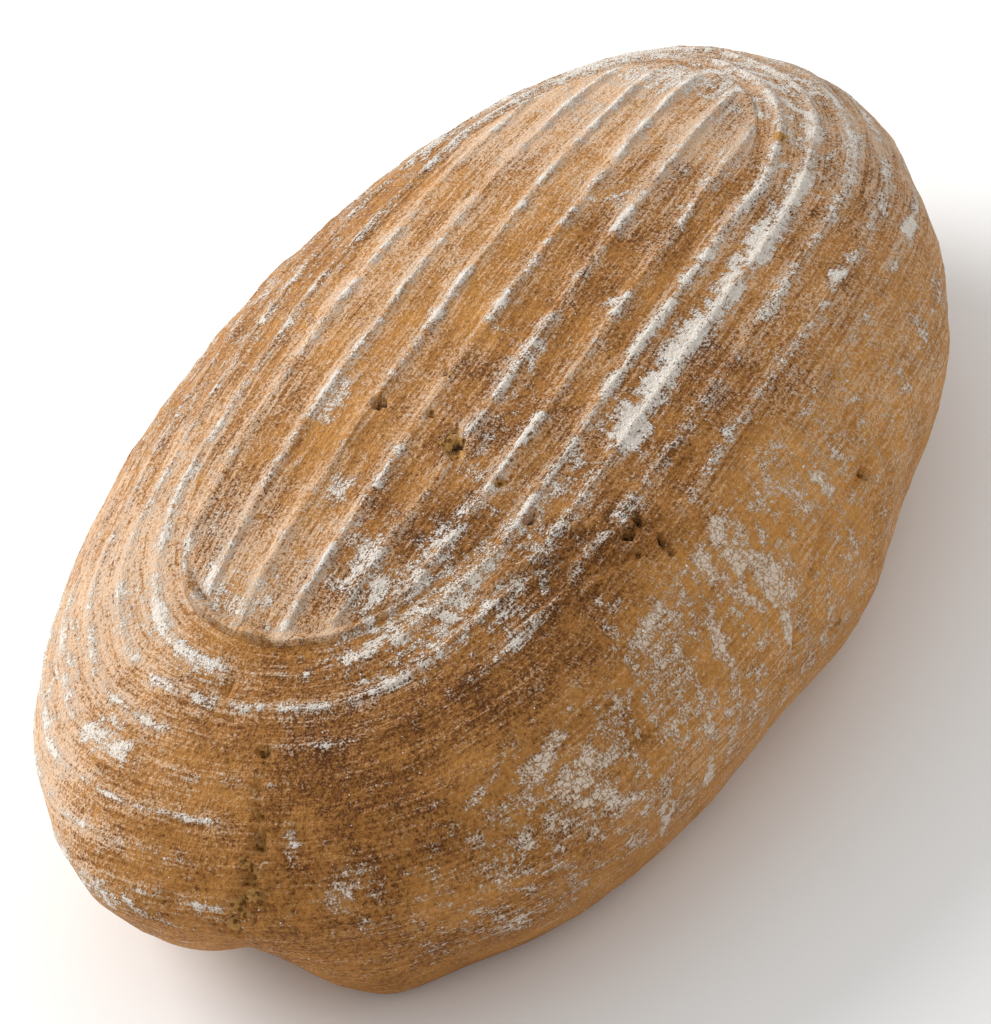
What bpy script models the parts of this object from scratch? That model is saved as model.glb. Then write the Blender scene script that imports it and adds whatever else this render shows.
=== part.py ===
"""An uncut rye bread loaf that rose upside down in a long oval basket of coiled cane.

The dough swelled between the canes, so its top carries raised ridges: straight ones over the floor and
closed rings round the wall. The loaf rests on its flat underside. Metres, +Z up, +X along the loaf.

The top is a grid whose rows follow the straight ridges. Its rim is then drawn out ring by ring, over the
shoulder, down the wall and in under the loaf, to the edge of the flat foot.
"""

import bmesh
import bpy
import numpy as np

MM = 0.001

# Body, measured from the spine: the point above which the crown stands
NEAR_HALF = 140.4 * MM
FAR_HALF = 159.8 * MM
LEFT_HALF = 73.7 * MM
RIGHT_HALF = 95.6 * MM
HEIGHT = 77.8 * MM
GIRTH_HEIGHT = 40.2 * MM
DOME_POWER = 2.64
DOME_ROOT = 1.83
FOOT_RATIO = 0.77
UNDER_POWER = 1.475
HIDDEN_SIDE = 65.0
HIDDEN_FOOT_RATIO = 0.81
HIDDEN_UNDER_POWER = 1.85

# Uneven places of the outline and the foot: degrees round from the far end, spread, share of the radius
OUTLINE_LOBES = ((133, 12, 0.020), (165, 18, 0.023), (200, 13, 0.012), (224, 15, 0.033), (250, 16, -0.019),
                 (281, 12, -0.020), (297, 8, 0.010), (322, 9, -0.010), (345, 14, 0.006))
FOOT_LOBES = ((165, 18, -0.095), (187, 7, -0.100), (204, 9, 0.070), (222, 13, 0.025), (245, 14, 0.032),
              (262, 9, -0.042), (277, 8, 0.045))

# Straight ridges: the canes of the basket's floor
CANE_PITCH = 12.35 * MM
RIDGE_OFFSET = 1.3 * MM
FLOOR_HALF_WIDTH = 3.0
RIDGE_LINES = (-2.5, -1.5, -0.5, 0.5, 1.5, 2.5)
RIDGE_HEIGHT = 1.25 * MM
RIDGE_WIDTH = 1.7 * MM
TROUGH_DEPTH = 0.30 * MM
PINCH_NEAR = 0.25
PINCH_FAR = 0.085
PINCH_REACH = 100.0 * MM
FLOOR_NEAR_END = 88.4 * MM
FLOOR_FAR_END = 130.0 * MM
NEAR_END_BOW = 1.85 * MM
FAR_END_BOW = 2.4 * MM
CORNER_BOW = 0.034 * MM
RIDGE_END_FADE = 9.0 * MM
SEAM_HEIGHT = 1.1 * MM
SEAM_WIDTH = 2.0 * MM
SEAM_REACH = 2.6

# Rings: the canes of the basket's wall, measured down the surface from the floor's edge
CLOSED_RINGS = 7
LOWER_RINGS = 12
RING_FIRST_SIDE = 3.6 * MM
RING_FIRST_NEAR = 8.8 * MM
RING_FIRST_FAR = 6.0 * MM
RING_PITCH_SIDE = 9.6 * MM
RING_PITCH_END = 8.7 * MM
RING_HEIGHT = 1.0 * MM
NEAR_RING_LOSS = 0.4
LOW_RING_LOSS = 0.6

# The loaf burst out on its right side: the lower wall there is smooth
BURST_ANGLE = 272.0
BURST_SPREAD = 42.0
BURST_FIRST_RING = 3.2
BURST_LAST_RING = 5.6

# Near-end crease, where two folds of dough meet, and the fold on the far right wall
CREASE_ANGLE = 188.5
CREASE_SPREAD = 4.0
CREASE_DEPTH = 2.4 * MM
CREASE_TOP = 46.0 * MM
BULGE_ANGLE = 276.0
BULGE_SPREAD = 11.0
BULGE_HEIGHT = 20.0 * MM
BULGE_TALLNESS = 12.0 * MM
BULGE_RISE = 1.6 * MM
DENT_ANGLE = 286.0
DENT_SPREAD = 5.0
DENT_HEIGHT = 33.0 * MM
DENT_TALLNESS = 9.0 * MM
DENT_DEPTH = 2.2 * MM
SMOOTH_FOOT = 7.0 * MM

# Slow waves that make ridges uneven: rate, strength and shift of each
WAVES = ((1.0, 0.5, 1.0), (2.3, 0.3, 1.7), (4.1, 0.2, -1.0))
RIDGE_UNEVENNESS = 0.3
RIDGE_WAVE_LENGTH = 23.0 * MM
RING_UNEVENNESS = 0.35
RING_WAVE_ANGLE = 14.0

# Mesh: rows and columns of the grid, and the angles of the outline that its corners run out to
FLANK = 0.16
GRID_COLUMNS = 38
CORNER_NEAR_LEFT = 123.0
CORNER_NEAR_RIGHT = 237.0
CORNER_FAR_LEFT = 50.0
CORNER_FAR_RIGHT = 310.0
PATH_STEPS = 200
FOOT_INSET = 0.9

CRUST_COLOUR = (0.42, 0.20, 0.065, 1.0)
CRUST_ROUGHNESS = 0.82


def step_between(low, high, value):
    """Runs smoothly from 0 at low to 1 at high."""
    t = np.clip((value - low) / (high - low), 0.0, 1.0)
    return t * t * (3.0 - 2.0 * t)


def angle_gap(angle, at):
    """Signed degrees from at to angle, in -180 to 180."""
    return (angle - at + 180.0) % 360.0 - 180.0


def bump(angle, at, spread):
    """A round swell of height 1 about one angle."""
    return np.exp(-((angle_gap(angle, at) / spread) ** 2))


def swell(away, width):
    """A round-topped ridge of height 1 across a distance."""
    return np.exp(-((away / width) ** 2))


def lobes(angle, table):
    return sum(amount * bump(angle, at, spread) for at, spread, amount in table)


def wobble(value, phase):
    """A slow uneven wave between about -1 and 1, for what no two stretches of crust share."""
    return sum(strength * np.sin(rate * value + shift * phase) for rate, strength, shift in WAVES)


def outline(angle):
    """The loaf's widest line in plan, by degrees from the far end."""
    turn = np.radians(angle)
    half_x = np.where(np.cos(turn) < 0, NEAR_HALF, FAR_HALF)
    half_y = np.where(np.sin(turn) > 0, LEFT_HALF, RIGHT_HALF)
    reach = 1.0 + lobes(angle, OUTLINE_LOBES)
    return half_x * np.cos(turn) * reach, half_y * np.sin(turn) * reach


def reach_at(x, y):
    """How far a plan point lies out from the spine, as a share of the outline's own distance that way."""
    half_x = np.where(x < 0, NEAR_HALF, FAR_HALF)
    half_y = np.where(y > 0, LEFT_HALF, RIGHT_HALF)
    angle = np.degrees(np.arctan2(y / half_y, x / half_x)) % 360.0
    return np.hypot(x / half_x, y / half_y) / (1.0 + lobes(angle, OUTLINE_LOBES)), angle


def dome(x, y):
    """Height of the smooth top over a plan point."""
    reach = np.clip(reach_at(x, y)[0], 0.0, 1.0)
    return GIRTH_HEIGHT + (HEIGHT - GIRTH_HEIGHT) * (1.0 - reach**DOME_POWER) ** (1.0 / DOME_ROOT)


def floor_plan(along, line):
    """Plan point of the floor's print: along is 0 to 1 from the near end, line counts canes."""
    near = -FLOOR_NEAR_END + NEAR_END_BOW * line**2 + CORNER_BOW * line**6
    far = FLOOR_FAR_END - FAR_END_BOW * line**2 - CORNER_BOW * line**6
    x = near + (far - near) * along
    pinch = np.where(x < 0, PINCH_NEAR, PINCH_FAR)
    y = RIDGE_OFFSET + CANE_PITCH * line * (1.0 - pinch * (x / PINCH_REACH) ** 2)
    return x, y


def floor_lines():
    """The grid's rows: each ridge's crest and both its flanks, and the middle of each trough."""
    rows = [-FLOOR_HALF_WIDTH]
    for crest in RIDGE_LINES:
        rows += [crest - FLANK, crest, crest + FLANK, crest + 0.5]
    return np.array(rows)


def rim():
    """The floor's edge: plan points and outline angles of its columns, in order round the loaf."""
    lines = floor_lines()
    along = np.linspace(0.0, 1.0, GRID_COLUMNS + 1)
    count = len(lines) - 1
    # right side towards the far end, far end, left side back, near end
    plan_along = np.concatenate([along[:-1], np.ones(count), along[:0:-1], np.zeros(count)])
    plan_line = np.concatenate([np.full(GRID_COLUMNS, lines[0]), lines[:-1],
                                np.full(GRID_COLUMNS, lines[-1]), lines[:0:-1]])
    side = np.linspace(0.0, 1.0, GRID_COLUMNS, endpoint=False)
    end = np.linspace(0.0, 1.0, count, endpoint=False)
    x_near, x_far = np.cos(np.radians(CORNER_NEAR_RIGHT)), np.cos(np.radians(CORNER_FAR_RIGHT))
    right = 360.0 - np.degrees(np.arccos(x_near + (x_far - x_near) * side))
    far = CORNER_FAR_RIGHT + (360.0 + CORNER_FAR_LEFT - CORNER_FAR_RIGHT) * end
    x_near, x_far = np.cos(np.radians(CORNER_NEAR_LEFT)), np.cos(np.radians(CORNER_FAR_LEFT))
    left = np.degrees(np.arccos(x_far + (x_near - x_far) * side))
    near = CORNER_NEAR_LEFT + (CORNER_NEAR_RIGHT - CORNER_NEAR_LEFT) * end
    angle = np.concatenate([right, far, left, near]) % 360.0
    x, y = floor_plan(plan_along, plan_line)
    return x, y, angle


def wall_paths(x0, y0, angle):
    """Each column's way down, from the floor's edge over the shoulder to the foot, and lengths along it."""
    out_x, out_y = outline(angle)
    share = 1.0 - np.linspace(1.0, 0.0, PATH_STEPS)[:, None] ** 2
    x, y = x0 + (out_x - x0) * share, y0 + (out_y - y0) * share
    upper = np.stack([x, y, dome(x, y)], axis=-1)
    turn = np.linspace(np.pi / 2, 0.0, PATH_STEPS)[1:, None]
    hidden = step_between(-0.1, 0.6, np.cos(np.radians(angle - HIDDEN_SIDE)))
    foot = FOOT_RATIO + (HIDDEN_FOOT_RATIO - FOOT_RATIO) * hidden + lobes(angle, FOOT_LOBES)
    power = UNDER_POWER + (HIDDEN_UNDER_POWER - UNDER_POWER) * hidden
    narrow = foot + (1.0 - foot) * np.sin(turn) ** (2.0 / power)
    rise = GIRTH_HEIGHT * (1.0 - np.cos(turn) ** (2.0 / power))
    lower = np.stack([out_x * narrow, out_y * narrow, rise], axis=-1)
    path = np.concatenate([upper, lower])
    lengths = np.linalg.norm(np.diff(path, axis=0), axis=2)
    return path, np.concatenate([np.zeros((1, len(angle))), np.cumsum(lengths, axis=0)])


def end_shares(angle):
    """How far a column belongs to the near end and to the far end, each 0 to 1."""
    near = step_between(0.35, 0.95, -np.cos(np.radians(angle)))
    far = step_between(0.45, 0.95, np.cos(np.radians(angle)))
    return near, far


def ring_place(ring, angle):
    """Distance down the surface from the floor's edge to a ring."""
    near, far = end_shares(angle)
    first = RING_FIRST_SIDE * (1.0 - near - far) + RING_FIRST_NEAR * near + RING_FIRST_FAR * far
    pitch = RING_PITCH_SIDE + (RING_PITCH_END - RING_PITCH_SIDE) * np.maximum(near, far)
    return first + pitch * (ring - 1.0)


def ring_strength(ring, angle):
    """How strongly the cane printed there: weak low on the wall, and gone where the loaf burst out."""
    near = end_shares(angle)[0]
    burst = bump(angle, BURST_ANGLE, BURST_SPREAD) * step_between(BURST_FIRST_RING, BURST_LAST_RING, ring)
    low = LOW_RING_LOSS * step_between(3.0, CLOSED_RINGS + 1.0, ring)
    foot = step_between(LOWER_RINGS - 2.0, LOWER_RINGS, ring)
    uneven = 1.0 + RING_UNEVENNESS * wobble(angle / RING_WAVE_ANGLE, 1.9 * ring)
    return (1.0 - burst) * (1.0 - low) * (1.0 - foot) * (1.0 - NEAR_RING_LOSS * near) * uneven


def wall_rows(angle, total):
    """Rings of the mesh as distances down each column: crest, flanks and trough of each cane."""
    rings = []
    for ring in range(1, CLOSED_RINGS + 1):
        rings += [ring - FLANK, ring, ring + FLANK, ring + 0.5]
    start = ring_place(rings[-1], angle)
    rows = [ring_place(ring, angle) for ring in rings]
    lower = np.arange(CLOSED_RINGS + 1.0, LOWER_RINGS + 0.25, 0.5)
    for step, ring in enumerate(lower, start=1):
        rows.append(start + (total - start) * step / len(lower))
        rings.append(ring)
    return np.array(rings), np.array(rows)


def floor_relief(x, line):
    """Height of the print over the floor: narrow ridges between shallow troughs."""
    nearest = np.array(RIDGE_LINES)[np.argmin(np.abs(np.subtract.outer(line, RIDGE_LINES)), axis=-1)]
    away = (line - nearest) * CANE_PITCH
    uneven = 1.0 + RIDGE_UNEVENNESS * wobble(x / RIDGE_WAVE_LENGTH, 3.0 * nearest)
    return RIDGE_HEIGHT * uneven * swell(away, RIDGE_WIDTH) - TROUGH_DEPTH * (2.0 * away / CANE_PITCH) ** 2


def wall_relief(ring, angle, height):
    """Height of the print and of the folds on the wall."""
    nearest = np.maximum(np.round(ring), 1.0)
    away = (ring - nearest) * RING_PITCH_SIDE
    ridges = RING_HEIGHT * swell(away, RIDGE_WIDTH) - TROUGH_DEPTH * (2.0 * away / RING_PITCH_SIDE) ** 2
    crease = bump(angle, CREASE_ANGLE, CREASE_SPREAD) * (1.0 - step_between(0.0, CREASE_TOP, height))
    bulge = bump(angle, BULGE_ANGLE, BULGE_SPREAD) * swell(height - BULGE_HEIGHT, BULGE_TALLNESS)
    dent = bump(angle, DENT_ANGLE, DENT_SPREAD) * swell(height - DENT_HEIGHT, DENT_TALLNESS)
    folds = BULGE_RISE * bulge - DENT_DEPTH * dent - CREASE_DEPTH * crease
    return (ridges * ring_strength(ring, angle) + folds) * step_between(0.0, SMOOTH_FOOT, height)


def raise_along_normals(points, relief, closed):
    """Moves a sheet of points outward by its relief. Rows run out from the crown, columns round the loaf."""
    down = np.gradient(points, axis=0)
    if closed:
        round_ = np.roll(points, -1, axis=1) - np.roll(points, 1, axis=1)
    else:
        round_ = np.gradient(points, axis=1)
    normal = np.cross(down, round_)
    normal /= np.linalg.norm(normal, axis=2, keepdims=True)
    return points + normal * relief[..., None]


def floor_points():
    lines = floor_lines()
    along = np.linspace(0.0, 1.0, GRID_COLUMNS + 1)
    line, share = np.meshgrid(lines, along, indexing="ij")
    x, y = floor_plan(share, line)
    smooth = np.stack([x, y, dome(x, y)], axis=-1)
    length = FLOOR_NEAR_END + FLOOR_FAR_END
    inside_ends = step_between(0.0, RIDGE_END_FADE, np.minimum(share, 1.0 - share) * length)
    seam = swell(share * length, SEAM_WIDTH) * (np.abs(line) < SEAM_REACH)
    relief = floor_relief(x, line) * inside_ends + SEAM_HEIGHT * seam
    # rows run from the right side to the left, so the cross product of row and column steps points down
    return raise_along_normals(smooth, -relief, closed=False)


def wall_points():
    x0, y0, angle = rim()
    path, lengths = wall_paths(x0, y0, angle)
    rings, rows = wall_rows(angle, lengths[-1])
    smooth = np.empty((len(rings), len(angle), 3))
    for column in range(len(angle)):
        for axis in range(3):
            smooth[:, column, axis] = np.interp(rows[:, column], lengths[:, column], path[:, column, axis])
    relief = wall_relief(rings[:, None], angle[None, :], smooth[..., 2])
    relief[-1] = 0.0
    points = raise_along_normals(smooth, relief, closed=True)
    points[-1, :, 2] = 0.0
    return points


def build_mesh():
    floor = floor_points()
    wall = wall_points()
    row_count, column_count = floor.shape[0] - 1, floor.shape[1] - 1
    body = bmesh.new()
    column_of = body.verts.layers.int.new("column")
    bmesh.ops.create_grid(body, x_segments=column_count, y_segments=row_count, size=1.0)
    body.verts.ensure_lookup_table()
    for vert in body.verts:
        i = round((vert.co.y + 1.0) / 2.0 * row_count)
        j = round((vert.co.x + 1.0) / 2.0 * column_count)
        vert.co = floor[i, j]
        if i == 0 and j < column_count:
            vert[column_of] = j
        elif j == column_count and i < row_count:
            vert[column_of] = column_count + i
        elif i == row_count:
            vert[column_of] = 2 * column_count + row_count - j
        else:
            vert[column_of] = 2 * (column_count + row_count) - i
    edge_loop = [edge for edge in body.edges if edge.is_boundary]
    for ring in wall:
        edge_loop = draw_out(body, edge_loop, column_of, ring)
    middle = wall[-1].mean(axis=0)
    edge_loop = draw_out(body, edge_loop, column_of, middle + (wall[-1] - middle) * FOOT_INSET)
    bmesh.ops.contextual_create(body, geom=edge_loop)
    bmesh.ops.recalc_face_normals(body, faces=body.faces)
    mesh = bpy.data.meshes.new("loaf")
    body.to_mesh(mesh)
    body.free()
    return mesh


def draw_out(body, edge_loop, column_of, places):
    """Extrudes a closed loop of edges to the places of the next ring and returns the new loop."""
    made = bmesh.ops.extrude_edge_only(body, edges=edge_loop)["geom"]
    fresh = {item for item in made if isinstance(item, bmesh.types.BMVert)}
    for vert in fresh:
        vert.co = places[vert[column_of]]
    return [item for item in made if isinstance(item, bmesh.types.BMEdge) and set(item.verts) <= fresh]


def centre_on_base(mesh):
    """Puts the origin under the middle of the loaf's own length and width, on the plane that it rests on."""
    places = np.empty(len(mesh.vertices) * 3)
    mesh.vertices.foreach_get("co", places)
    places = places.reshape(-1, 3)
    middle = (places.min(axis=0) + places.max(axis=0)) / 2.0
    places -= (middle[0], middle[1], places[:, 2].min())
    mesh.vertices.foreach_set("co", places.ravel())
    mesh.update()


def crust_material():
    material = bpy.data.materials.new("baked rye crust")
    material.use_nodes = True
    shader = material.node_tree.nodes["Principled BSDF"]
    shader.inputs["Base Color"].default_value = CRUST_COLOUR
    shader.inputs["Roughness"].default_value = CRUST_ROUGHNESS
    shader.inputs["Metallic"].default_value = 0.0
    return material


def main():
    for thing in list(bpy.data.objects):
        bpy.data.objects.remove(thing)
    group = bpy.data.collections.new("rye bread loaf")
    bpy.context.scene.collection.children.link(group)
    mesh = build_mesh()
    centre_on_base(mesh)
    mesh.materials.append(crust_material())
    mesh.shade_smooth()
    group.objects.link(bpy.data.objects.new("loaf", mesh))


main()
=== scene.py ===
"""Looks of an uncut rye bread loaf that rose upside down in a long oval basket of coiled cane.

The crust is one closed mesh: a grid over the basket's floor print, drawn out ring by ring down the wall and in
under the loaf. Its vertices carry how floury, cracked and torn each place is, where painted shade deepens its holes,
grooves and crack, and how brown it baked, which away from the light also holds painted shade; the materials and the
scattered flour read that. Lengths in this file are millimetres unless a name ends in _m.
"""

import math

import bmesh
import bpy
import numpy as np
from mathutils import Matrix, Vector


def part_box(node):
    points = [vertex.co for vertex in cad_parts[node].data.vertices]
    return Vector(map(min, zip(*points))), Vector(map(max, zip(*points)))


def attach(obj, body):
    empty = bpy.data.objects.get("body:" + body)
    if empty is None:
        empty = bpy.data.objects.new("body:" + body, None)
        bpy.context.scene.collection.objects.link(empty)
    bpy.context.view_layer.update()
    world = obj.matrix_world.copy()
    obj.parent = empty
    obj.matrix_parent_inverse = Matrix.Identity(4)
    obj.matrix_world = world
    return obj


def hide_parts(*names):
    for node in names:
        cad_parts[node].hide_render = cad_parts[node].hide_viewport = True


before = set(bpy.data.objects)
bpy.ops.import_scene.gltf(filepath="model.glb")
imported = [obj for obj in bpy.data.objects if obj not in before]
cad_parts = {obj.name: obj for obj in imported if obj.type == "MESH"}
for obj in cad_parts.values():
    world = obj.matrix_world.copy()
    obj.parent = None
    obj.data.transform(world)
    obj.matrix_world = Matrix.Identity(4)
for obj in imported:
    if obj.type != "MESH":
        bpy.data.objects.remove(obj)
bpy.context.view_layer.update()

bl_info = {
    "name": "Rye Bread Loaf",
    "version": (1, 0, 0),
    "blender": (4, 5, 0),
    "location": "3D View > Sidebar > Loaf",
    "description": "Builds a floury oval rye loaf with the print of its proving basket",
    "category": "Add Mesh",
}

MM = 0.001

# How far the crust stays inside the solid's box
BOX_INSET = 0.35

# Body, measured from the spine: the point above which the crown stands
NEAR_HALF, FAR_HALF = 140.4, 159.8
LEFT_HALF, RIGHT_HALF = 73.7, 95.6
HEIGHT, GIRTH_HEIGHT = 77.8, 40.2
DOME_POWER, DOME_ROOT = 2.64, 1.83
FOOT_RATIO, UNDER_POWER = 0.77, 1.475
HIDDEN_SIDE, HIDDEN_FOOT_RATIO, HIDDEN_UNDER_POWER = 65.0, 0.81, 1.85
OUTLINE_LOBES = ((133, 12, 0.020), (165, 18, 0.023), (200, 13, 0.012), (224, 15, 0.033), (250, 16, -0.019),
                 (281, 12, -0.020), (297, 8, 0.010), (322, 9, -0.010), (345, 14, 0.006))
FOOT_LOBES = ((165, 18, -0.095), (187, 7, -0.100), (204, 9, 0.070), (222, 13, 0.025), (245, 14, 0.032),
              (262, 9, -0.042), (277, 8, 0.045))
SPINE = (-9.0, 11.0)

# Straight ridges: the canes of the basket's floor
CANE_PITCH, RIDGE_OFFSET = 12.35, 1.3
FLOOR_HALF_WIDTH = 3.0
RIDGE_LINES = (-2.5, -1.5, -0.5, 0.5, 1.5, 2.5)
PINCH_NEAR, PINCH_FAR, PINCH_REACH = 0.25, 0.085, 100.0
FLOOR_NEAR_END, FLOOR_FAR_END = 88.4, 130.0
NEAR_END_BOW, FAR_END_BOW, CORNER_BOW = 1.85, 2.4, 0.034
RIDGE_SWAY, SWAY_LENGTH = 0.8, 34.0
SEAM_REACH = 2.6

# Rings: the canes of the basket's wall, measured down the surface from the floor's edge
CLOSED_RINGS = 7
RING_FIRST_SIDE, RING_FIRST_NEAR, RING_FIRST_FAR = 3.6, 8.8, 6.0
RING_PITCH_SIDE, RING_PITCH_END = 9.6, 8.7
BURST_ANGLE, BURST_SPREAD, BURST_FIRST_RING, BURST_LAST_RING = 272.0, 42.0, 3.2, 5.6
CREASE_ANGLE, CREASE_SPREAD, CREASE_DEPTH, CREASE_TOP = 188.5, 4.0, 2.4, 46.0
BULGE_ANGLE, BULGE_SPREAD, BULGE_HEIGHT, BULGE_TALLNESS, BULGE_RISE = 276.0, 11.0, 20.0, 12.0, 1.6
DENT_ANGLE, DENT_SPREAD, DENT_HEIGHT, DENT_TALLNESS, DENT_DEPTH = 286.0, 5.0, 33.0, 9.0, 2.2
SMOOTH_FOOT = 7.0
CORNER_NEAR_LEFT, CORNER_NEAR_RIGHT, CORNER_FAR_LEFT, CORNER_FAR_RIGHT = 123.0, 237.0, 50.0, 310.0

# The lowest ring that a place can belong to, and how wide a circle the rings' uneven values are read from
LAST_RING, SWAY_RADIUS = 12.0, 110.0

# How far apart the uneven values of two ridges or two rings are read, so that each breaks in its own way
RIDGES_APART, RINGS_APART = 50.0, 40.0

# Mesh rows: distances from each crest in millimetres, and their like in ring spacings
CREST_ROWS = (0.45, 0.9, 1.4, 2.0, 2.8, 3.8, 4.9)
RING_ROWS = (0.045, 0.09, 0.15, 0.22, 0.30, 0.40)
GRID_COLUMNS = 180
LOWER_ROWS = 32
FOOT_ROWS = 8
PATH_STEPS = 200

# Where flour stayed on each straight ridge: from, to (along the loaf) and how much
RIDGE_FLOUR = {
    2.5: ((-76, -10, 0.35), (-6, 8, 0.75), (9, 22, 0.85), (27, 43, 0.85), (46, 84, 0.40), (85, 135, 0.95)),
    1.5: ((-84, -62, 0.75), (-60, -28, 0.55), (-28, -9, 0.80), (-8, 10, 0.80), (12, 33, 0.90), (34, 58, 0.60),
          (60, 86, 0.35), (88, 130, 0.95)),
    0.5: ((-86, -68, 0.45), (-66, -22, 0.30), (-14, 6, 0.60), (6, 31, 0.90), (33, 45, 0.35), (46, 76, 0.70),
          (80, 114, 0.95)),
    -0.5: ((-88, -60, 0.85), (-59, -45, 0.60), (-44, -28, 0.70), (-20, -4, 0.35), (14, 46, 0.85), (50, 76, 0.70),
           (79, 135, 0.95)),
    -1.5: ((-86, -30, 0.35), (-26, -12, 1.00), (-9, 22, 0.75), (28, 50, 0.40), (52, 72, 0.80), (74, 135, 0.85)),
    -2.5: ((-80, -50, 0.60), (-36, -9, 0.85), (-5, 22, 0.30), (24, 35, 0.90), (38, 60, 0.45), (60, 72, 0.80),
           (75, 110, 0.55), (110, 135, 0.95)),
}

# Where flour stayed on each ring: from, to (degrees round the loaf), how much, and how wide the band is
RING_FLOUR = {
    1: ((0, 60, 0.95, 3.0), (60, 120, 0.60, 2.0), (118, 146, 0.85, 2.6), (135, 180, 1.00, 2.6),
        (180, 218, 0.35, 2.5), (220, 243, 0.65, 3.0), (241, 262, 0.85, 1.8), (260, 283, 1.00, 2.0),
        (283, 360, 0.95, 2.0)),
    2: ((0, 60, 0.95, 3.0), (60, 120, 0.60, 2.0), (120, 150, 0.65, 2.4), (156, 181, 0.65, 2.0),
        (181, 216, 0.70, 1.8), (216, 262, 0.62, 2.6), (260, 314, 1.00, 3.1), (314, 360, 0.95, 3.0)),
    3: ((0, 60, 0.90, 2.6), (60, 120, 0.50, 2.0), (120, 150, 0.65, 2.0), (150, 171, 0.85, 1.6),
        (194, 210, 0.80, 1.1), (226, 284, 0.50, 2.4), (284, 312, 0.72, 2.4), (312, 360, 0.90, 3.0)),
    4: ((0, 60, 0.75, 2.2), (60, 120, 0.50, 2.0), (122, 148, 0.70, 2.2), (150, 164, 0.85, 3.4),
        (166, 200, 0.45, 1.2), (258, 304, 0.55, 2.0), (304, 360, 0.75, 2.4)),
    5: ((0, 60, 0.60, 2.0), (60, 120, 0.45, 2.0), (122, 150, 0.85, 2.2), (150, 188, 0.68, 1.0),
        (252, 300, 0.48, 1.6), (300, 360, 0.60, 2.2)),
    6: ((0, 120, 0.45, 2.0), (122, 152, 0.85, 2.6), (152, 184, 0.68, 1.0), (310, 360, 0.50, 2.0)),
    7: ((0, 120, 0.40, 2.0), (124, 160, 0.90, 3.4), (162, 192, 0.66, 1.1), (310, 360, 0.45, 2.0)),
}

# Dusted patches on the floor's print: along, line, half length, half width, how much
FLOOR_PATCHES = ((-66, -2.4, 26, 10, 0.74), (-44, 0.1, 5, 3.5, 0.62), (-66, -0.2, 2, 1.5, 0.8),
                 (-73, 1.75, 9, 4, 0.85), (-64, -1.1, 17, 7, 0.64), (-80, 0.4, 9, 14, 0.56), (-20, 1.3, 12, 3.0, 0.66),
                 (-42, -2.3, 14, 4, 0.6), (5, -1.55, 16, 4, 0.6), (14, -1.1, 2, 7, 0.5),
                 (104, 1.0, 16, 12, 0.42), (122, 0.0, 14, 36, 0.68), (60, -0.6, 7, 8, 0.45), (67, -0.9, 4, 9, 0.5),
                 (30, -2.4, 3, 3, 0.9), (-70, 2.6, 18, 7, 0.6), (90, -2.2, 26, 9, 0.42), (-20, -1.9, 20, 4, 0.35))

# Dusted patches on the wall: angle, distance down from the floor's edge, half width in degrees, half height,
# how much, and how far the oven cracked the flour there
WALL_PATCHES = ((224, 6, 20, 12, 0.68, 0.0), (236, 15, 12, 8, 0.55, 0.0), (262, 13, 3.2, 4.2, 1.0, 0.0),
                (272, 11.4, 17, 3.3, 1.00, 0.0), (297, 11.2, 16, 3.0, 1.00, 0.0), (252, 7, 16, 3.0, 0.62, 0.0),
                (156, 30, 5.0, 3.4, 0.78, 0.2), (138, 12, 9, 9, 0.50, 0.0), (197.5, 47, 1.3, 2.6, 0.95, 0.3),
                (205.5, 58, 3.0, 4.4, 0.90, 0.8), (206.5, 66, 1.8, 1.8, 0.70, 0.6), (199, 45, 0.8, 1.4, 0.8, 0.2),
                (221, 47, 3.4, 2.4, 0.80, 0.9), (228, 48, 5.0, 3.6, 0.85, 1.0), (231, 56, 3.4, 7.0, 0.85, 1.0),
                (235, 65, 3.0, 3.4, 0.95, 0.6), (225, 60, 2.6, 4.6, 0.70, 0.9), (242.5, 34.5, 1.9, 4.4, 0.90, 0.7),
                (245, 43, 4.0, 2.0, 0.70, 0.8), (257.5, 43, 3.4, 3.6, 0.90, 0.9), (259, 54, 4.0, 9.5, 0.88, 1.0),
                (258.0, 68, 1.7, 5.0, 0.95, 0.7), (251.5, 57, 2.2, 5.5, 0.78, 1.0), (239, 52, 2.0, 2.6, 0.6, 0.8),
                (263, 51, 1.5, 6.5, 0.6, 0.6), (269.5, 55, 1.2, 5.0, 0.75, 0.6), (272.5, 56, 1.0, 5.0, 0.70, 0.6),
                (276, 54, 1.0, 6.0, 0.62, 0.4), (290, 57, 9, 5, 0.50, 0.3), (302, 56, 8, 6, 0.55, 0.0),
                (296, 31.5, 1.6, 2.0, 0.95, 0.0), (282, 31.5, 1.2, 1.7, 0.90, 0.0), (310.5, 41, 3.0, 2.0, 0.92, 0.1),
                (240, 84, 1.4, 9.0, 0.90, 0.5), (246, 85, 1.5, 4.5, 0.80, 0.5), (221, 84, 3.0, 4.0, 0.70, 0.6),
                (211, 82, 1.6, 3.0, 0.60, 0.4), (234, 78, 1.5, 5.0, 0.5, 0.5), (252, 80, 2.5, 9.0, 0.45, 0.4),
                (265, 75, 3.0, 9.0, 0.45, 0.2), (283, 68, 3.0, 10, 0.45, 0.2), (318, 12, 9, 12, 0.55, 0.0),
                (342, 10, 24, 22, 0.80, 0.0), (20, 12, 40, 22, 0.60, 0.0), (80, 30, 30, 26, 0.42, 0.2),
                (132, 40, 12, 14, 0.55, 0.0), (172, 12, 10, 3, 0.4, 0.0), (168, 65, 16, 4, 0.62, 0.0))

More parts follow.
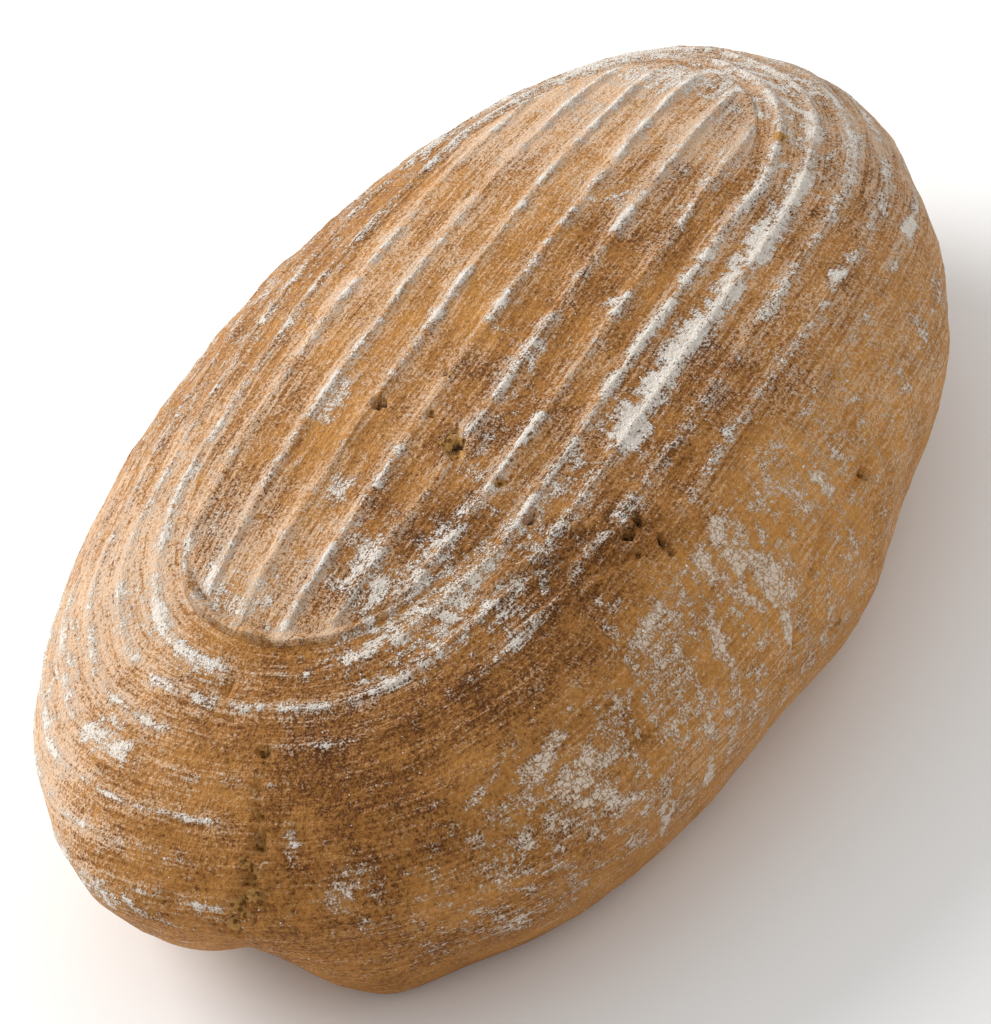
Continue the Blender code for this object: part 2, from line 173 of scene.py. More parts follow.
# Holes and torn places on the floor's print: along, line, radius, depth, how much crumb shows
FLOOR_HOLES = ((-18, 0.42, 2.3, 3.2, 0.6), (-24.5, -1.38, 3.2, 2.1, 0.66), (-21.0, -1.28, 2.0, 1.8, 0.6),
               (-28.0, -1.50, 1.8, 1.6, 0.9), (-17.5, -0.60, 1.5, 1.2, 0.9), (-4.0, -0.36, 1.1, 1.3, 0.7),
               (7.0, 2.78, 1.0, 1.2, 0.2), (106, 0.20, 0.9, 1.2, 0.6), (57, 1.70, 0.8, 1.0, 0.6),
               (-32.0, -2.50, 1.3, 1.2, 0.8), (42, -1.45, 0.8, 0.9, 0.4), (-60, -2.2, 0.8, 0.8, 0.4),
               (104, -3.0, 1.9, 1.0, 1.0))

# The same on the wall: angle, distance down, half width and half height in millimetres, depth, crumb
WALL_HOLES = ((243.6, 6.0, 1.2, 1.2, 2.4, 0.2), (251.3, 27.2, 1.0, 2.2, 4.2, 0.5), (253.5, 26.6, 0.9, 1.5, 3.4, 0.4),
              (253.6, 33.5, 0.9, 1.8, 3.2, 0.5), (253.5, 36.8, 0.7, 1.0, 2.0, 0.5), (250.3, 31.6, 0.7, 1.0, 2.0, 0.5),
              (250.8, 21.0, 0.6, 1.3, 1.4, 0.4), (192.5, 27.5, 1.8, 2.0, 2.2, 0.7), (193.3, 29.5, 1.0, 1.0, 1.6, 0.6),
              (277.5, 61.5, 1.3, 2.4, 3.4, 0.3), (267.0, 84.0, 1.7, 1.9, 3.2, 0.3), (183.2, 20.5, 1.4, 1.2, 1.5, 0.2),
              (171, 17.5, 1.0, 0.9, 1.2, 0.1), (192.8, 41, 1.3, 3.0, 1.6, 0.7), (193.0, 46.5, 1.2, 2.2, 1.8, 0.7),
              (190.3, 50.5, 0.9, 0.9, 1.6, 0.9), (192.3, 54.0, 1.8, 2.2, 2.0, 0.7), (192.6, 58.0, 2.2, 2.6, 2.2, 0.7),
              (190.6, 60.0, 3.0, 3.2, 1.8, 0.7), (189.5, 64.5, 3.4, 2.6, 2.0, 0.7), (181.0, 60.0, 0.8, 3.6, 1.4, 0.3),
              (180.0, 13.5, 0.7, 3.2, 0.9, 0.1), (189.9, 47, 0.6, 1.0, 1.2, 0.7), (317, 6.4, 1.6, 2.2, -0.9, 1.0))

# Ribs of dough that fan out from the torn place on the right shoulder: points, then height and half width
RIBS = ((((235.5, 10), (240.5, 14), (245, 19.5), (248.5, 25)), 1.0, 0.75),
        (((237.5, 16), (242, 19.5), (246, 24), (249.5, 28)), 1.1, 0.8),
        (((233, 21.5), (239, 24.5), (245, 29), (248, 32)), 0.7, 0.8), (((244, 12), (248, 17), (250.5, 22)), 0.6, 0.6),
        (((284.5, 47), (283.0, 60), (279.5, 76)), 0.7, 0.9), (((290, 50), (289, 62), (285, 76)), 0.6, 0.9),
        (((262.5, 88), (266, 74), (272, 66)), 0.5, 0.9))

# Grooves the burst left on the wall: points as angle and distance, then depth and half width in millimetres
GROOVES = ((((283, 43), (280.5, 51), (278.5, 61), (276, 74), (274, 88)), 1.1, 1.3),
           (((257, 82), (261, 68), (266, 63.5), (272, 59.5), (278, 60.5)), 0.9, 1.0),
           (((287.5, 48), (286, 60), (282, 76)), 0.6, 1.0),
           (((192.0, 34), (193.0, 46), (191.5, 55), (189, 66)), 1.0, 1.4),
           (((179.5, 8), (180.2, 16), (179.6, 26)), 0.5, 0.5), (((198.8, 43), (199.6, 52)), 0.9, 0.8),
           (((231, 59), (233, 57.5), (236, 61), (235.5, 66)), 0.5, 0.6),
           (((246, 24), (252, 27), (256, 33)), 0.7, 0.9))

# What the wall gains in thin flour, in baking with some painted shade, and in torn flour: how much, about which angle,
# over how many degrees to either side, and where down the wall: everywhere, from one distance to another, or in a band
# with soft edges
WALL_HAZE = ((0.50, 133.0, 34.0, ()), (0.14, 235.0, 25.0, (22.0, 8.0)), (0.18, 295.0, 18.0, ()),
             (0.12, 255.0, 42.0, (34.0, 50.0)), (-0.21, 198.0, 34.0, (16.0, 28.0)))
# The gain about 214 degrees browns the near right of the wall, away from the light: partly real baking, partly painted
# shade.
WALL_BAKE_AND_SHADE = ((0.20, 214.0, 36.0, (16.0, 90.0, 12.0)), (0.13, 236.0, 42.0, (14.0, 40.0, 6.0)),
             (-0.38, 272.0, 40.0, (34.0, 48.0)))
WALL_TORN = ((1.0, 262.0, 34.0, (38.0, 92.0, 9.0)), (0.7, 225.0, 22.0, (44.0, 92.0, 8.0)))

# How thick the torn flour is, how far the oven cracked it, and how much wider cracked patches spread
TORN_FLOUR, TORN_CRACKED, CRACKED_SPREAD = 0.56, 0.8, 0.22

# Flour grains: how many to a square metre where most of them lie, the smallest ones, how flat they are, their seed
LUMPS_PER_M2, SMALLEST_LUMP, LUMP_FLATNESS, LUMP_SEED = 9.0e5, 0.11, 0.62, 11
SPECKS_PER_M2, SMALLEST_SPECK, SPECK_FLATNESS, SPECK_SEED = 4.0e5, 0.07, 0.7, 23

# Grains lie only above the first of these heights, and in full number above the second
CLEAN_BELOW_M, FLOURED_ABOVE_M = 0.006, 0.012

# Camera: degrees round and above the loaf, its roll, distance and lens, and where it looks in the picture
CAMERA_ROUND, CAMERA_ABOVE, CAMERA_ROLL = -58.54, 39.27, -8.88
CAMERA_DISTANCE = 1386.2
CAMERA_TARGET = (16.83, 0.0, 38.88)
PICTURE_FOCAL, PICTURE_WIDTH, PICTURE_HEIGHT = 6228.1, 991.0, 1024.0
TARGET_IN_PICTURE = (492.3, 446.6)
SENSOR = 36.0

# Lights: name, direction it stands in, distance in metres, size in metres and power in watts
SOFT_LIGHTS = (("big_window", (0.02, 0.84, 0.50), 1.6, 1.2, 27.0),)
ROOM_LIGHT = 0.73

# Half the width of the studio table
TABLE_HALF_M = 3.0


def step_between(low, high, value):
    """Runs smoothly from 0 at low to 1 at high."""
    t = np.clip((value - low) / (high - low), 0.0, 1.0)
    return t * t * (3.0 - 2.0 * t)


def angle_gap(angle, at):
    """Signed degrees from at to angle, in -180 to 180."""
    return (angle - at + 180.0) % 360.0 - 180.0


def bump(angle, at, spread):
    """A round swell of height 1 about one angle."""
    return np.exp(-((angle_gap(angle, at) / spread) ** 2))


def swell(away, width):
    """A round-topped ridge of height 1 across a distance."""
    return np.exp(-((away / width) ** 2))


def plateau(value, low, high, edge):
    """1 between low and high, falling to 0 over edge on either side."""
    return step_between(low - edge, low + edge, value) * (1.0 - step_between(high - edge, high + edge, value))


def lobes(angle, table):
    """Sum of the bumps in a table of angles, spreads and amounts."""
    return sum(amount * bump(angle, at, spread) for at, spread, amount in table)


def gains(table, angle, distance):
    """Sum of a table's gains at each place on the wall."""
    total = 0.0
    for amount, at, spread, reach in table:
        part = amount * bump(angle, at, spread)
        if len(reach) == 2:
            part = part * step_between(*reach, distance)
        elif reach:
            part = part * plateau(distance, *reach)
        total = total + part
    return total


def grain(x, y, z, size, seed):
    """Smooth uneven value between -1 and 1 in space, with bumps about one size across."""
    x, y, z = np.broadcast_arrays(x / size, y / size, z / size)
    whole = [np.floor(axis).astype(np.int64) for axis in (x, y, z)]
    part = [axis - cell for axis, cell in zip((x, y, z), whole)]
    part = [t * t * t * (t * (6.0 * t - 15.0) + 10.0) for t in part]
    total = np.zeros(x.shape)
    for corner in range(8):
        step = (corner & 1, corner >> 1 & 1, corner >> 2 & 1)
        key = sum((cell + one) * prime for cell, one, prime in zip(whole, step, (73856093, 19349663, 83492791)))
        key = (key + seed * 974711) & 0xFFFFFFFF
        key = ((key ^ (key >> 15)) * 2246822519) & 0xFFFFFFFF
        key = ((key ^ (key >> 13)) * 3266489917) & 0xFFFFFFFF
        level = ((key ^ (key >> 16)) & 0xFFFF) / 32767.5 - 1.0
        weight = np.ones(x.shape)
        for t, one in zip(part, step):
            weight = weight * (t if one else 1.0 - t)
        total += level * weight
    return total


def outline(angle):
    """The loaf's widest line in plan, by degrees from the far end."""
    turn = np.radians(angle)
    half_x = np.where(np.cos(turn) < 0, NEAR_HALF, FAR_HALF)
    half_y = np.where(np.sin(turn) > 0, LEFT_HALF, RIGHT_HALF)
    reach = 1.0 + lobes(angle, OUTLINE_LOBES)
    return half_x * np.cos(turn) * reach, half_y * np.sin(turn) * reach


def dome(x, y):
    """Height of the smooth top over a plan point."""
    half_x = np.where(x < 0, NEAR_HALF, FAR_HALF)
    half_y = np.where(y > 0, LEFT_HALF, RIGHT_HALF)
    angle = np.degrees(np.arctan2(y / half_y, x / half_x)) % 360.0
    reach = np.clip(np.hypot(x / half_x, y / half_y) / (1.0 + lobes(angle, OUTLINE_LOBES)), 0.0, 1.0)
    return GIRTH_HEIGHT + (HEIGHT - GIRTH_HEIGHT) * (1.0 - reach**DOME_POWER) ** (1.0 / DOME_ROOT)


def floor_plan(along, line):
    """Plan point of the floor's print: along is 0 to 1 from the near end, line counts canes."""
    near = -FLOOR_NEAR_END + NEAR_END_BOW * line**2 + CORNER_BOW * line**6
    far = FLOOR_FAR_END - FAR_END_BOW * line**2 - CORNER_BOW * line**6
    x = near + (far - near) * along
    pinch = np.where(x < 0, PINCH_NEAR, PINCH_FAR)
    y = RIDGE_OFFSET + CANE_PITCH * line * (1.0 - pinch * (x / PINCH_REACH) ** 2)
    return x, y


def floor_lines():
    """The grid's rows, close together over each crest."""
    beside = [-gap for gap in reversed(CREST_ROWS)] + [0.0] + list(CREST_ROWS)
    rows = [-FLOOR_HALF_WIDTH]
    for crest in RIDGE_LINES:
        rows += [crest + gap / CANE_PITCH for gap in beside] + [crest + 0.5]
    return np.array(rows)


def rim(lines):
    """The floor's edge: plan points and outline angles of its columns, in order round the loaf."""
    along = np.linspace(0.0, 1.0, GRID_COLUMNS + 1)
    count = len(lines) - 1
    plan_along = np.concatenate([along[:-1], np.ones(count), along[:0:-1], np.zeros(count)])
    plan_line = np.concatenate([np.full(GRID_COLUMNS, lines[0]), lines[:-1],
                                np.full(GRID_COLUMNS, lines[-1]), lines[:0:-1]])
    side = np.linspace(0.0, 1.0, GRID_COLUMNS, endpoint=False)
    end = np.linspace(0.0, 1.0, count, endpoint=False)
    x_near, x_far = np.cos(np.radians(CORNER_NEAR_RIGHT)), np.cos(np.radians(CORNER_FAR_RIGHT))
    right = 360.0 - np.degrees(np.arccos(x_near + (x_far - x_near) * side))
    far = CORNER_FAR_RIGHT + (360.0 + CORNER_FAR_LEFT - CORNER_FAR_RIGHT) * end
    x_near, x_far = np.cos(np.radians(CORNER_NEAR_LEFT)), np.cos(np.radians(CORNER_FAR_LEFT))
    left = np.degrees(np.arccos(x_far + (x_near - x_far) * side))
    near = CORNER_NEAR_LEFT + (CORNER_NEAR_RIGHT - CORNER_NEAR_LEFT) * end
    x, y = floor_plan(plan_along, plan_line)
    return x, y, np.concatenate([right, far, left, near]) % 360.0


def wall_paths(x0, y0, angle):
    """Each column's way down, from the floor's edge over the shoulder to the foot, and lengths along it."""
    out_x, out_y = outline(angle)
    share = 1.0 - np.linspace(1.0, 0.0, PATH_STEPS)[:, None] ** 2
    x, y = x0 + (out_x - x0) * share, y0 + (out_y - y0) * share
    upper = np.stack([x, y, dome(x, y)], axis=-1)
    turn = np.linspace(np.pi / 2, 0.0, PATH_STEPS)[1:, None]
    hidden = step_between(-0.1, 0.6, np.cos(np.radians(angle - HIDDEN_SIDE)))
    foot = FOOT_RATIO + (HIDDEN_FOOT_RATIO - FOOT_RATIO) * hidden + lobes(angle, FOOT_LOBES)
    power = UNDER_POWER + (HIDDEN_UNDER_POWER - UNDER_POWER) * hidden
    narrow = foot + (1.0 - foot) * np.sin(turn) ** (2.0 / power)
    rise = GIRTH_HEIGHT * (1.0 - np.cos(turn) ** (2.0 / power))
    lower = np.stack([out_x * narrow, out_y * narrow, rise], axis=-1)
    path = np.concatenate([upper, lower])
    lengths = np.linalg.norm(np.diff(path, axis=0), axis=2)
    return path, np.concatenate([np.zeros((1, len(angle))), np.cumsum(lengths, axis=0)])


def ring_spacing(angle):
    """Distance from the floor's edge to the first ring, and from each ring to the next."""
    near = step_between(0.35, 0.95, -np.cos(np.radians(angle)))
    far = step_between(0.45, 0.95, np.cos(np.radians(angle)))
    first = RING_FIRST_SIDE * (1.0 - near - far) + RING_FIRST_NEAR * near + RING_FIRST_FAR * far
    pitch = RING_PITCH_SIDE + (RING_PITCH_END - RING_PITCH_SIDE) * np.maximum(near, far)
    return first, pitch, near, far


def wall_distances(angle, total):
    """Rows of the wall as distances down each column, close together over each crest."""
    first, pitch, _, _ = ring_spacing(angle)
    rows = [first * share for share in (0.14, 0.32, 0.50, 0.66, 0.80, 0.90)]
    rows += [first + pitch * gap for gap in (0.0,) + RING_ROWS + (0.5,)]
    beside = [-gap for gap in reversed(RING_ROWS)] + [0.0] + list(RING_ROWS) + [0.5]
    for ring in range(1, CLOSED_RINGS):
        rows += [first + pitch * (ring + gap) for gap in beside]
    start = rows[-1]
    rows += [start + (total - start) * step / LOWER_ROWS for step in range(1, LOWER_ROWS + 1)]
    return np.array(rows)


def stretches(value, table, edge):
    """The largest of several stretches, each with its own amount."""
    total = np.zeros(np.shape(value))
    for low, high, amount in table:
        total = np.maximum(total, amount * plateau(value, low, high, edge))
    return total


def groove_distance(angle, distance, per_degree, points):
    """Distance in millimetres from each place on the wall to a line of points."""
    nearest = np.full(angle.shape, 1e6)
    for (a0, d0), (a1, d1) in zip(points[:-1], points[1:]):
        u, v = angle_gap(angle, a0) * per_degree, distance - d0
        run_u, run_v = (a1 - a0) * per_degree, d1 - d0
        share = np.clip((u * run_u + v * run_v) / (run_u * run_u + run_v * run_v), 0.0, 1.0)
        nearest = np.minimum(nearest, np.hypot(u - share * run_u, v - share * run_v))
    return nearest


def floor_print(x, y, line, sizes):
    """Relief, thick flour and thin flour of the ridges on the floor's print."""
    nearest = np.array(RIDGE_LINES)[np.argmin(np.abs(np.subtract.outer(line, RIDGE_LINES)), axis=-1)]
    own = nearest * RIDGES_APART
    sway = RIDGE_SWAY * grain(x, own, 0.0, SWAY_LENGTH, 3)
    away = (line - nearest) * CANE_PITCH - sway
    held = np.zeros(x.shape)
    for crest, table in RIDGE_FLOUR.items():
        held = np.where(nearest == crest, stretches(x, table, 2.5), held)
    broken = 0.80 + 0.34 * grain(x, own, 0.0, 4.6, 5) + 0.26 * grain(x, own, 0.0, 1.9, 6)
    tall = np.clip(0.40 + 0.22 * grain(x, own, 4.0, 9.0, 10) + 0.58 * held * broken, 0.2, 1.1)
    width = sizes.ridge_width / MM * np.where(away > 0.0, 1.12, 0.80)
    width = width * (1.45 - 0.30 * held + 0.35 * grain(x, own, 0.0, 7.0, 8))
    relief = sizes.ridge_height / MM * tall * np.exp(-np.abs(away / width) ** 2.3)
    relief -= sizes.trough_depth / MM * (2.0 * away / CANE_PITCH) ** 2
    flour_width = 1.55 + 0.60 * grain(x, own, 2.0, 6.0, 9)
    flour = 1.20 * held * broken * np.exp(-np.abs((away - 0.3) / flour_width) ** 2.2)
    veil = (0.20 + 0.34 * held) * np.exp(-np.abs((away - 0.5) / 3.0) ** 2.0)
    return relief, flour, veil


def wall_print(ring, angle, sizes):
    """Relief, thick flour and thin flour of the rings on the wall."""
    nearest = np.clip(np.round(ring), 1.0, LAST_RING)
    near = ring_spacing(angle)[2]
    burst = bump(angle, BURST_ANGLE, BURST_SPREAD) * step_between(BURST_FIRST_RING, BURST_LAST_RING, ring)
    low = 0.6 * step_between(3.0, CLOSED_RINGS + 1.0, ring)
    foot = step_between(9.0, 11.0, ring)
    turn = np.radians(angle)
    round_x, round_y = SWAY_RADIUS * np.cos(turn), SWAY_RADIUS * np.sin(turn)
    own = nearest * RINGS_APART
    sway = 0.7 * grain(round_x, round_y, own, 26.0, 13)
    away = (ring - nearest) * RING_PITCH_SIDE - sway
    held, band = np.zeros(ring.shape), np.full(ring.shape, 1.5)
    for number, table in RING_FLOUR.items():
        here = nearest == number
        for start, end, amount, wide in table:
            part = amount * plateau(angle, start, end, 2.0)
            take = here & (part > held)
            held, band = np.where(take, part, held), np.where(take, wide, band)
    beads = grain(round_x, round_y, own, 3.2, 15)
    broken = 0.74 + 0.34 * grain(round_x, round_y, own, 8.0, 14) + (0.26 + 0.22 * near) * beads
    seen_side = np.maximum(0.45 * bump(angle, 272.0, 38.0), 0.85 * bump(angle, 325.0, 32.0))
    seen_side = seen_side * step_between(1.8, 3.2, ring)
    strength = (1.0 - burst) * (1.0 - low) * (1.0 - foot) * (1.0 - 0.30 * near) * (1.0 - seen_side)
    tall = strength * np.clip(0.45 + 0.62 * held * broken, 0.15, 1.2)
    width = sizes.ridge_width / MM * np.where(away < 0.0, 1.2, 0.95)
    relief = sizes.ring_height / MM * tall * np.exp(-np.abs(away / width) ** 2.2)
    relief -= sizes.trough_depth / MM * strength * (2.0 * away / RING_PITCH_SIDE) ** 2
    flour = 1.15 * held * broken * np.exp(-np.abs(away / band) ** 2.0)
    veil = (1.0 - burst) * (1.0 - foot) * (0.12 + 0.34 * held) * np.exp(-np.abs(away / 3.4) ** 2.0)
    return relief, flour, veil


def folds(angle, height):
    """The near-end crease, the bulge and the hollow above it."""
    crease = bump(angle, CREASE_ANGLE, CREASE_SPREAD) * (1.0 - step_between(0.0, CREASE_TOP, height))
    bulge = bump(angle, BULGE_ANGLE, BULGE_SPREAD) * swell(height - BULGE_HEIGHT, BULGE_TALLNESS)
    dent = bump(angle, DENT_ANGLE, DENT_SPREAD) * swell(height - DENT_HEIGHT, DENT_TALLNESS)
    return BULGE_RISE * bulge - DENT_DEPTH * dent - CREASE_DEPTH * crease


def ragged_fall(away, unevenness):
    """How much flour is left across a patch: most in its middle, in tatters towards its edge."""
    return np.clip(np.exp(-np.abs(away) ** 1.7) * (1.05 + 1.5 * unevenness) + 0.5 * unevenness * swell(away, 1.2),
                   0.0, 1.1)


def hole(away, depth):
    """A hole's depth across it: steep sides, round bottom, and a low rim of torn crust."""
    return -depth * (1.0 - step_between(0.45, 1.05, away)) + 0.12 * abs(depth) * swell(away - 1.25, 0.28)


def raise_along_normals(points, relief, closed):
    """Moves a sheet of points outward by its relief. Rows run out from the crown, columns round the loaf."""
    down = np.gradient(points, axis=0)
    if closed:
        round_ = np.roll(points, -1, axis=1) - np.roll(points, 1, axis=1)
    else:
        round_ = np.gradient(points, axis=1)
    normal = np.cross(down, round_)
    normal /= np.maximum(np.linalg.norm(normal, axis=2, keepdims=True), 1e-9)
    return points + normal * relief[..., None]


def rough_crust(x, y, z, coarse):
    """Relief of the baked skin itself, from slow dents to grit; coarse is how pimply each place is."""
    dents = 0.34 * grain(x, y, z, 13.0, 21) + 0.22 * grain(x, y, z, 6.2, 22) + 0.10 * grain(x, y, z, 3.4, 25)
    pimples = np.clip(grain(x, y, z, 2.6, 23), -0.4, 1.0) + 0.7 * np.clip(grain(x, y, z, 1.7, 24), -0.3, 1.0)
    return dents + (0.05 + 0.17 * coarse) * pimples


def floor_sheet(lines, sizes):
    """Points and surface amounts of the basket floor's print."""
    along = np.linspace(0.0, 1.0, GRID_COLUMNS + 1)
    line, share = np.meshgrid(lines, along, indexing="ij")
    x, y = floor_plan(share, line)
    z = dome(x, y)
    relief, flour, veil = floor_print(x, y, line, sizes)
    length = FLOOR_NEAR_END + FLOOR_FAR_END
    from_near, from_far = share * length, (1.0 - share) * length
    relief = relief * step_between(0.0, 7.0, from_near) * step_between(0.0, 9.0, from_far)
    flour = flour * step_between(0.0, 5.0, from_near)
    seam = np.clip(SEAM_REACH - np.abs(line), 0.0, 1.0) * (0.75 + 0.5 * grain(line * 12.0, 0.0, 0.0, 7.0, 31))
    relief += seam * (1.9 * swell(from_near - 0.4, 1.2) - 1.7 * swell(from_near - 3.3, 0.9))
    crack = seam * swell(from_near - 3.3, 0.8)
    # painted shade: the seam's crack is marked for the deep brown hole colour
    crumb, painted_hole_shade = np.zeros(x.shape), 0.7 * crack
    for at, at_line, radius, depth, bare in FLOOR_HOLES:
        at_y = RIDGE_OFFSET + CANE_PITCH * at_line
        ragged = 1.0 + 0.42 * grain(x, y, 0.0, 1.8, 41) + 0.2 * grain(x, y, 0.0, 0.8, 42)
        away = np.hypot(x - at, y - at_y) / (radius * ragged)
        relief = relief * step_between(0.5, 1.5, away) + hole(away, depth)
        inside = 1.0 - step_between(0.8, 1.25, away)
        flour *= 1.0 - inside
        crumb = np.maximum(crumb, bare * inside)
        # painted shade: the bottoms of deep holes are marked for the deep brown hole colour
        painted_hole_shade = np.maximum(painted_hole_shade, 0.9 * (1.0 - step_between(0.2, 1.0, away)) * (depth > 2.0))
    ragged_floor = (0.30 * grain(x * 0.6, y * 1.3, 0.0, 6.0, 51) + 0.26 * grain(x * 0.7, y * 1.4, 0.0, 2.6, 52)
                    + 0.18 * grain(x, y, 0.0, 1.5, 54))
    for at, at_line, long, wide, amount in FLOOR_PATCHES:
        away = np.hypot((x - at) / long, (line - at_line) * CANE_PITCH / wide)
        flour = np.maximum(flour, amount * ragged_fall(away, ragged_floor))
    coarse = 0.35 + 0.35 * step_between(-40.0, -80.0, x)
    relief += rough_crust(x, y, z, coarse)
    points = np.stack([x, y, z], axis=-1)
    # rows run from the right side to the left, so the cross product of row and column steps points down
    points = raise_along_normals(points, -relief, closed=False)
    # Painted shade: a patch on the floor's right towards the near end, where the crust is painted browner and less
    # floury
    painted_shade_zone = plateau(x, -80.0, -38.0, 8.0) * step_between(-0.2, -1.0, line)
    haze = (0.13 + 0.14 * grain(x, y, 0.0, 16.0, 53) + 0.08 * grain(x, y, 0.0, 5.0, 55)
            + 0.42 * step_between(55.0, 115.0, x) + 0.22 * step_between(-30.0, -75.0, x)
            - 0.16 * painted_shade_zone
            + 0.16 * step_between(-1.0, 1.5, line) * step_between(-30.0, 20.0, x)) + veil
    # Browner towards the floor's right, away from the light, is painted shade, as is the patch term; the rest is real
    # baking
    bake_and_shade = (0.47 + 0.14 * grain(x, y, 0.0, 19.0, 56) + 0.17 * grain(x * 0.7, y, 0.0, 6.5, 57)
            + 0.20 * step_between(0.3, -1.5, line) + 0.18 * step_between(0.8, 2.0, line) * step_between(30.0, -30.0, x)
            - 0.10 * step_between(60.0, 110.0, x) + 0.17 * painted_shade_zone)
    cane = np.stack([x * 0.05, y * 0.12, np.abs(line) * CANE_PITCH], axis=-1)
    return points, {"flour": flour, "haze": haze, "cracked": np.zeros(x.shape), "crumb": crumb, "painted_hole_shade": painted_hole_shade,
                    "bake_and_shade": bake_and_shade}, cane


def wall_sheet(lines, sizes):
    """Points and surface amounts of the wall, from the floor's edge to the foot."""
    x0, y0, angle = rim(lines)
    path, lengths = wall_paths(x0, y0, angle)
    distance = wall_distances(angle, lengths[-1])
    smooth = np.empty(distance.shape + (3,))
    for column in range(len(angle)):
        for axis in range(3):
            smooth[:, column, axis] = np.interp(distance[:, column], lengths[:, column], path[:, column, axis])
    first, pitch, _, far = ring_spacing(angle)
    ring = 1.0 + (distance - first) / pitch
    angle = np.broadcast_to(angle, ring.shape)
    x, y, z = smooth[..., 0], smooth[..., 1], smooth[..., 2]
    relief, flour, veil = wall_print(ring, angle, sizes)
    relief += folds(angle, z)
    crumb, painted_hole_shade, cracked = np.zeros(ring.shape), np.zeros(ring.shape), np.zeros(ring.shape)
    arc = np.hypot(np.gradient(x, axis=1), np.gradient(y, axis=1))
    per_degree = np.maximum(np.hypot(x, y), 40.0) * math.pi / 180.0
    around = np.cumsum(arc, axis=1)
    ragged_wall = (0.36 * grain(around * 1.7, distance * 0.45, 0.0, 6.5, 61)
                   + 0.34 * grain(around * 1.6, distance * 0.6, 0.0, 3.0, 62) + 0.22 * grain(x, y, z, 1.7, 66))
    for at, down, wide, tall, amount, crazed in WALL_PATCHES:
        away = np.hypot(angle_gap(angle, at) / wide, (distance - down) / tall) / (1.0 + CRACKED_SPREAD * crazed)
        cover = amount * ragged_fall(away, ragged_wall)
        cracked = np.where(cover > flour, crazed, cracked)
        flour = np.maximum(flour, cover)
    # over the burst side the oven pulled the flour into a thin torn veil
    torn = np.clip(gains(WALL_TORN, angle, distance), 0.0, 1.0)
    tatters = TORN_FLOUR * step_between(0.02, 0.62, 0.5 + 1.1 * ragged_wall) * torn
    cracked = np.where(flour < tatters, TORN_CRACKED, cracked)
    flour = np.maximum(flour, tatters)
    for points, height, width in RIBS:
        away = groove_distance(angle, distance, per_degree, points) + 0.4 * grain(x, y, z, 2.6, 73)
        relief += height * (swell(away, width) - 0.35 * swell(np.abs(away) - 2.2 * width, 0.8 * width))
    for points, depth, width in GROOVES:
        away = groove_distance(angle, distance, per_degree, points) + 0.5 * grain(x, y, z, 2.8, 72)
        inside = np.exp(-np.clip(away / width, 0.0, None) ** 2.0)
        relief += 0.45 * depth * swell(away - 2.1 * width, width) - depth * inside
        flour = flour * (1.0 - 0.85 * inside)
        # painted shade: the bottom of each groove is marked for the deep brown hole colour
        painted_hole_shade = np.maximum(painted_hole_shade, 0.22 * inside)
    ragged = 1.0 + 0.40 * grain(x, y, z, 1.8, 63) + 0.2 * grain(x, y, z, 0.9, 64)
    for at, down, wide, tall, depth, bare in WALL_HOLES:
        away = np.hypot(angle_gap(angle, at) * per_degree / wide, (distance - down) / tall) / ragged
        relief = relief + hole(away, depth)
        inside = 1.0 - step_between(0.8, 1.3, away)
        flour = flour * (1.0 - inside)
        crumb = np.maximum(crumb, bare * inside)
        # painted shade: the bottoms of deep holes are marked for the deep brown hole colour
        painted_hole_shade = np.maximum(painted_hole_shade, 0.95 * (1.0 - step_between(0.2, 1.0, away)) * (depth > 2.1))
    pimply = bump(angle, 165.0, 26.0) * plateau(distance, 8.0, 60.0, 8.0)
    relief = (relief + rough_crust(x, y, z, 0.15 + pimply)) * step_between(0.0, SMOOTH_FOOT, z)
    relief[-1] = 0.0
    points = raise_along_normals(smooth, relief, closed=True)
    points[-1, :, 2] = 0.0
    upper = step_between(42.0, 24.0, distance) * (1.0 - bump(angle, 145.0, 30.0))
    haze = (0.05 - 0.05 * upper + 0.42 * far + 0.10 * grain(x, y, z, 15.0, 65) + 0.08 * grain(x, y, z, 5.0, 67)
            + gains(WALL_HAZE, angle, distance) + veil)
    # The wall's browning from baking also holds the painted shade of the near-right gain
    bake_and_shade = (0.54 + 0.12 * upper + 0.12 * grain(x, y, z, 19.0, 68) + 0.17 * grain(x, y, z, 6.5, 69)
            + gains(WALL_BAKE_AND_SHADE, angle, distance))
    cane = np.stack([x * 0.05, y * 0.05, FLOOR_HALF_WIDTH * CANE_PITCH + distance], axis=-1)
    return points, {"flour": flour, "haze": haze, "cracked": cracked, "crumb": crumb, "painted_hole_shade": painted_hole_shade,
                    "bake_and_shade": bake_and_shade}, cane


def foot_sheet(last_ring):
    """Rings of the flat underside, drawn in from the foot's edge towards its middle."""
    middle = last_ring.mean(axis=0)
    shares = 1.0 - (np.arange(1, FOOT_ROWS + 1) / (FOOT_ROWS + 1.0)) ** 0.9
    points = middle + (last_ring[None] - middle) * shares[:, None, None]
    hollow = 0.5 * step_between(1.0, 0.9, shares)[:, None]
    uneven = 0.5 + 0.5 * grain(points[..., 0], points[..., 1], 0.0, 9.0, 71)
    points[..., 2] = hollow * uneven
    middle = np.array([middle[0], middle[1], 0.25])
    return points, middle


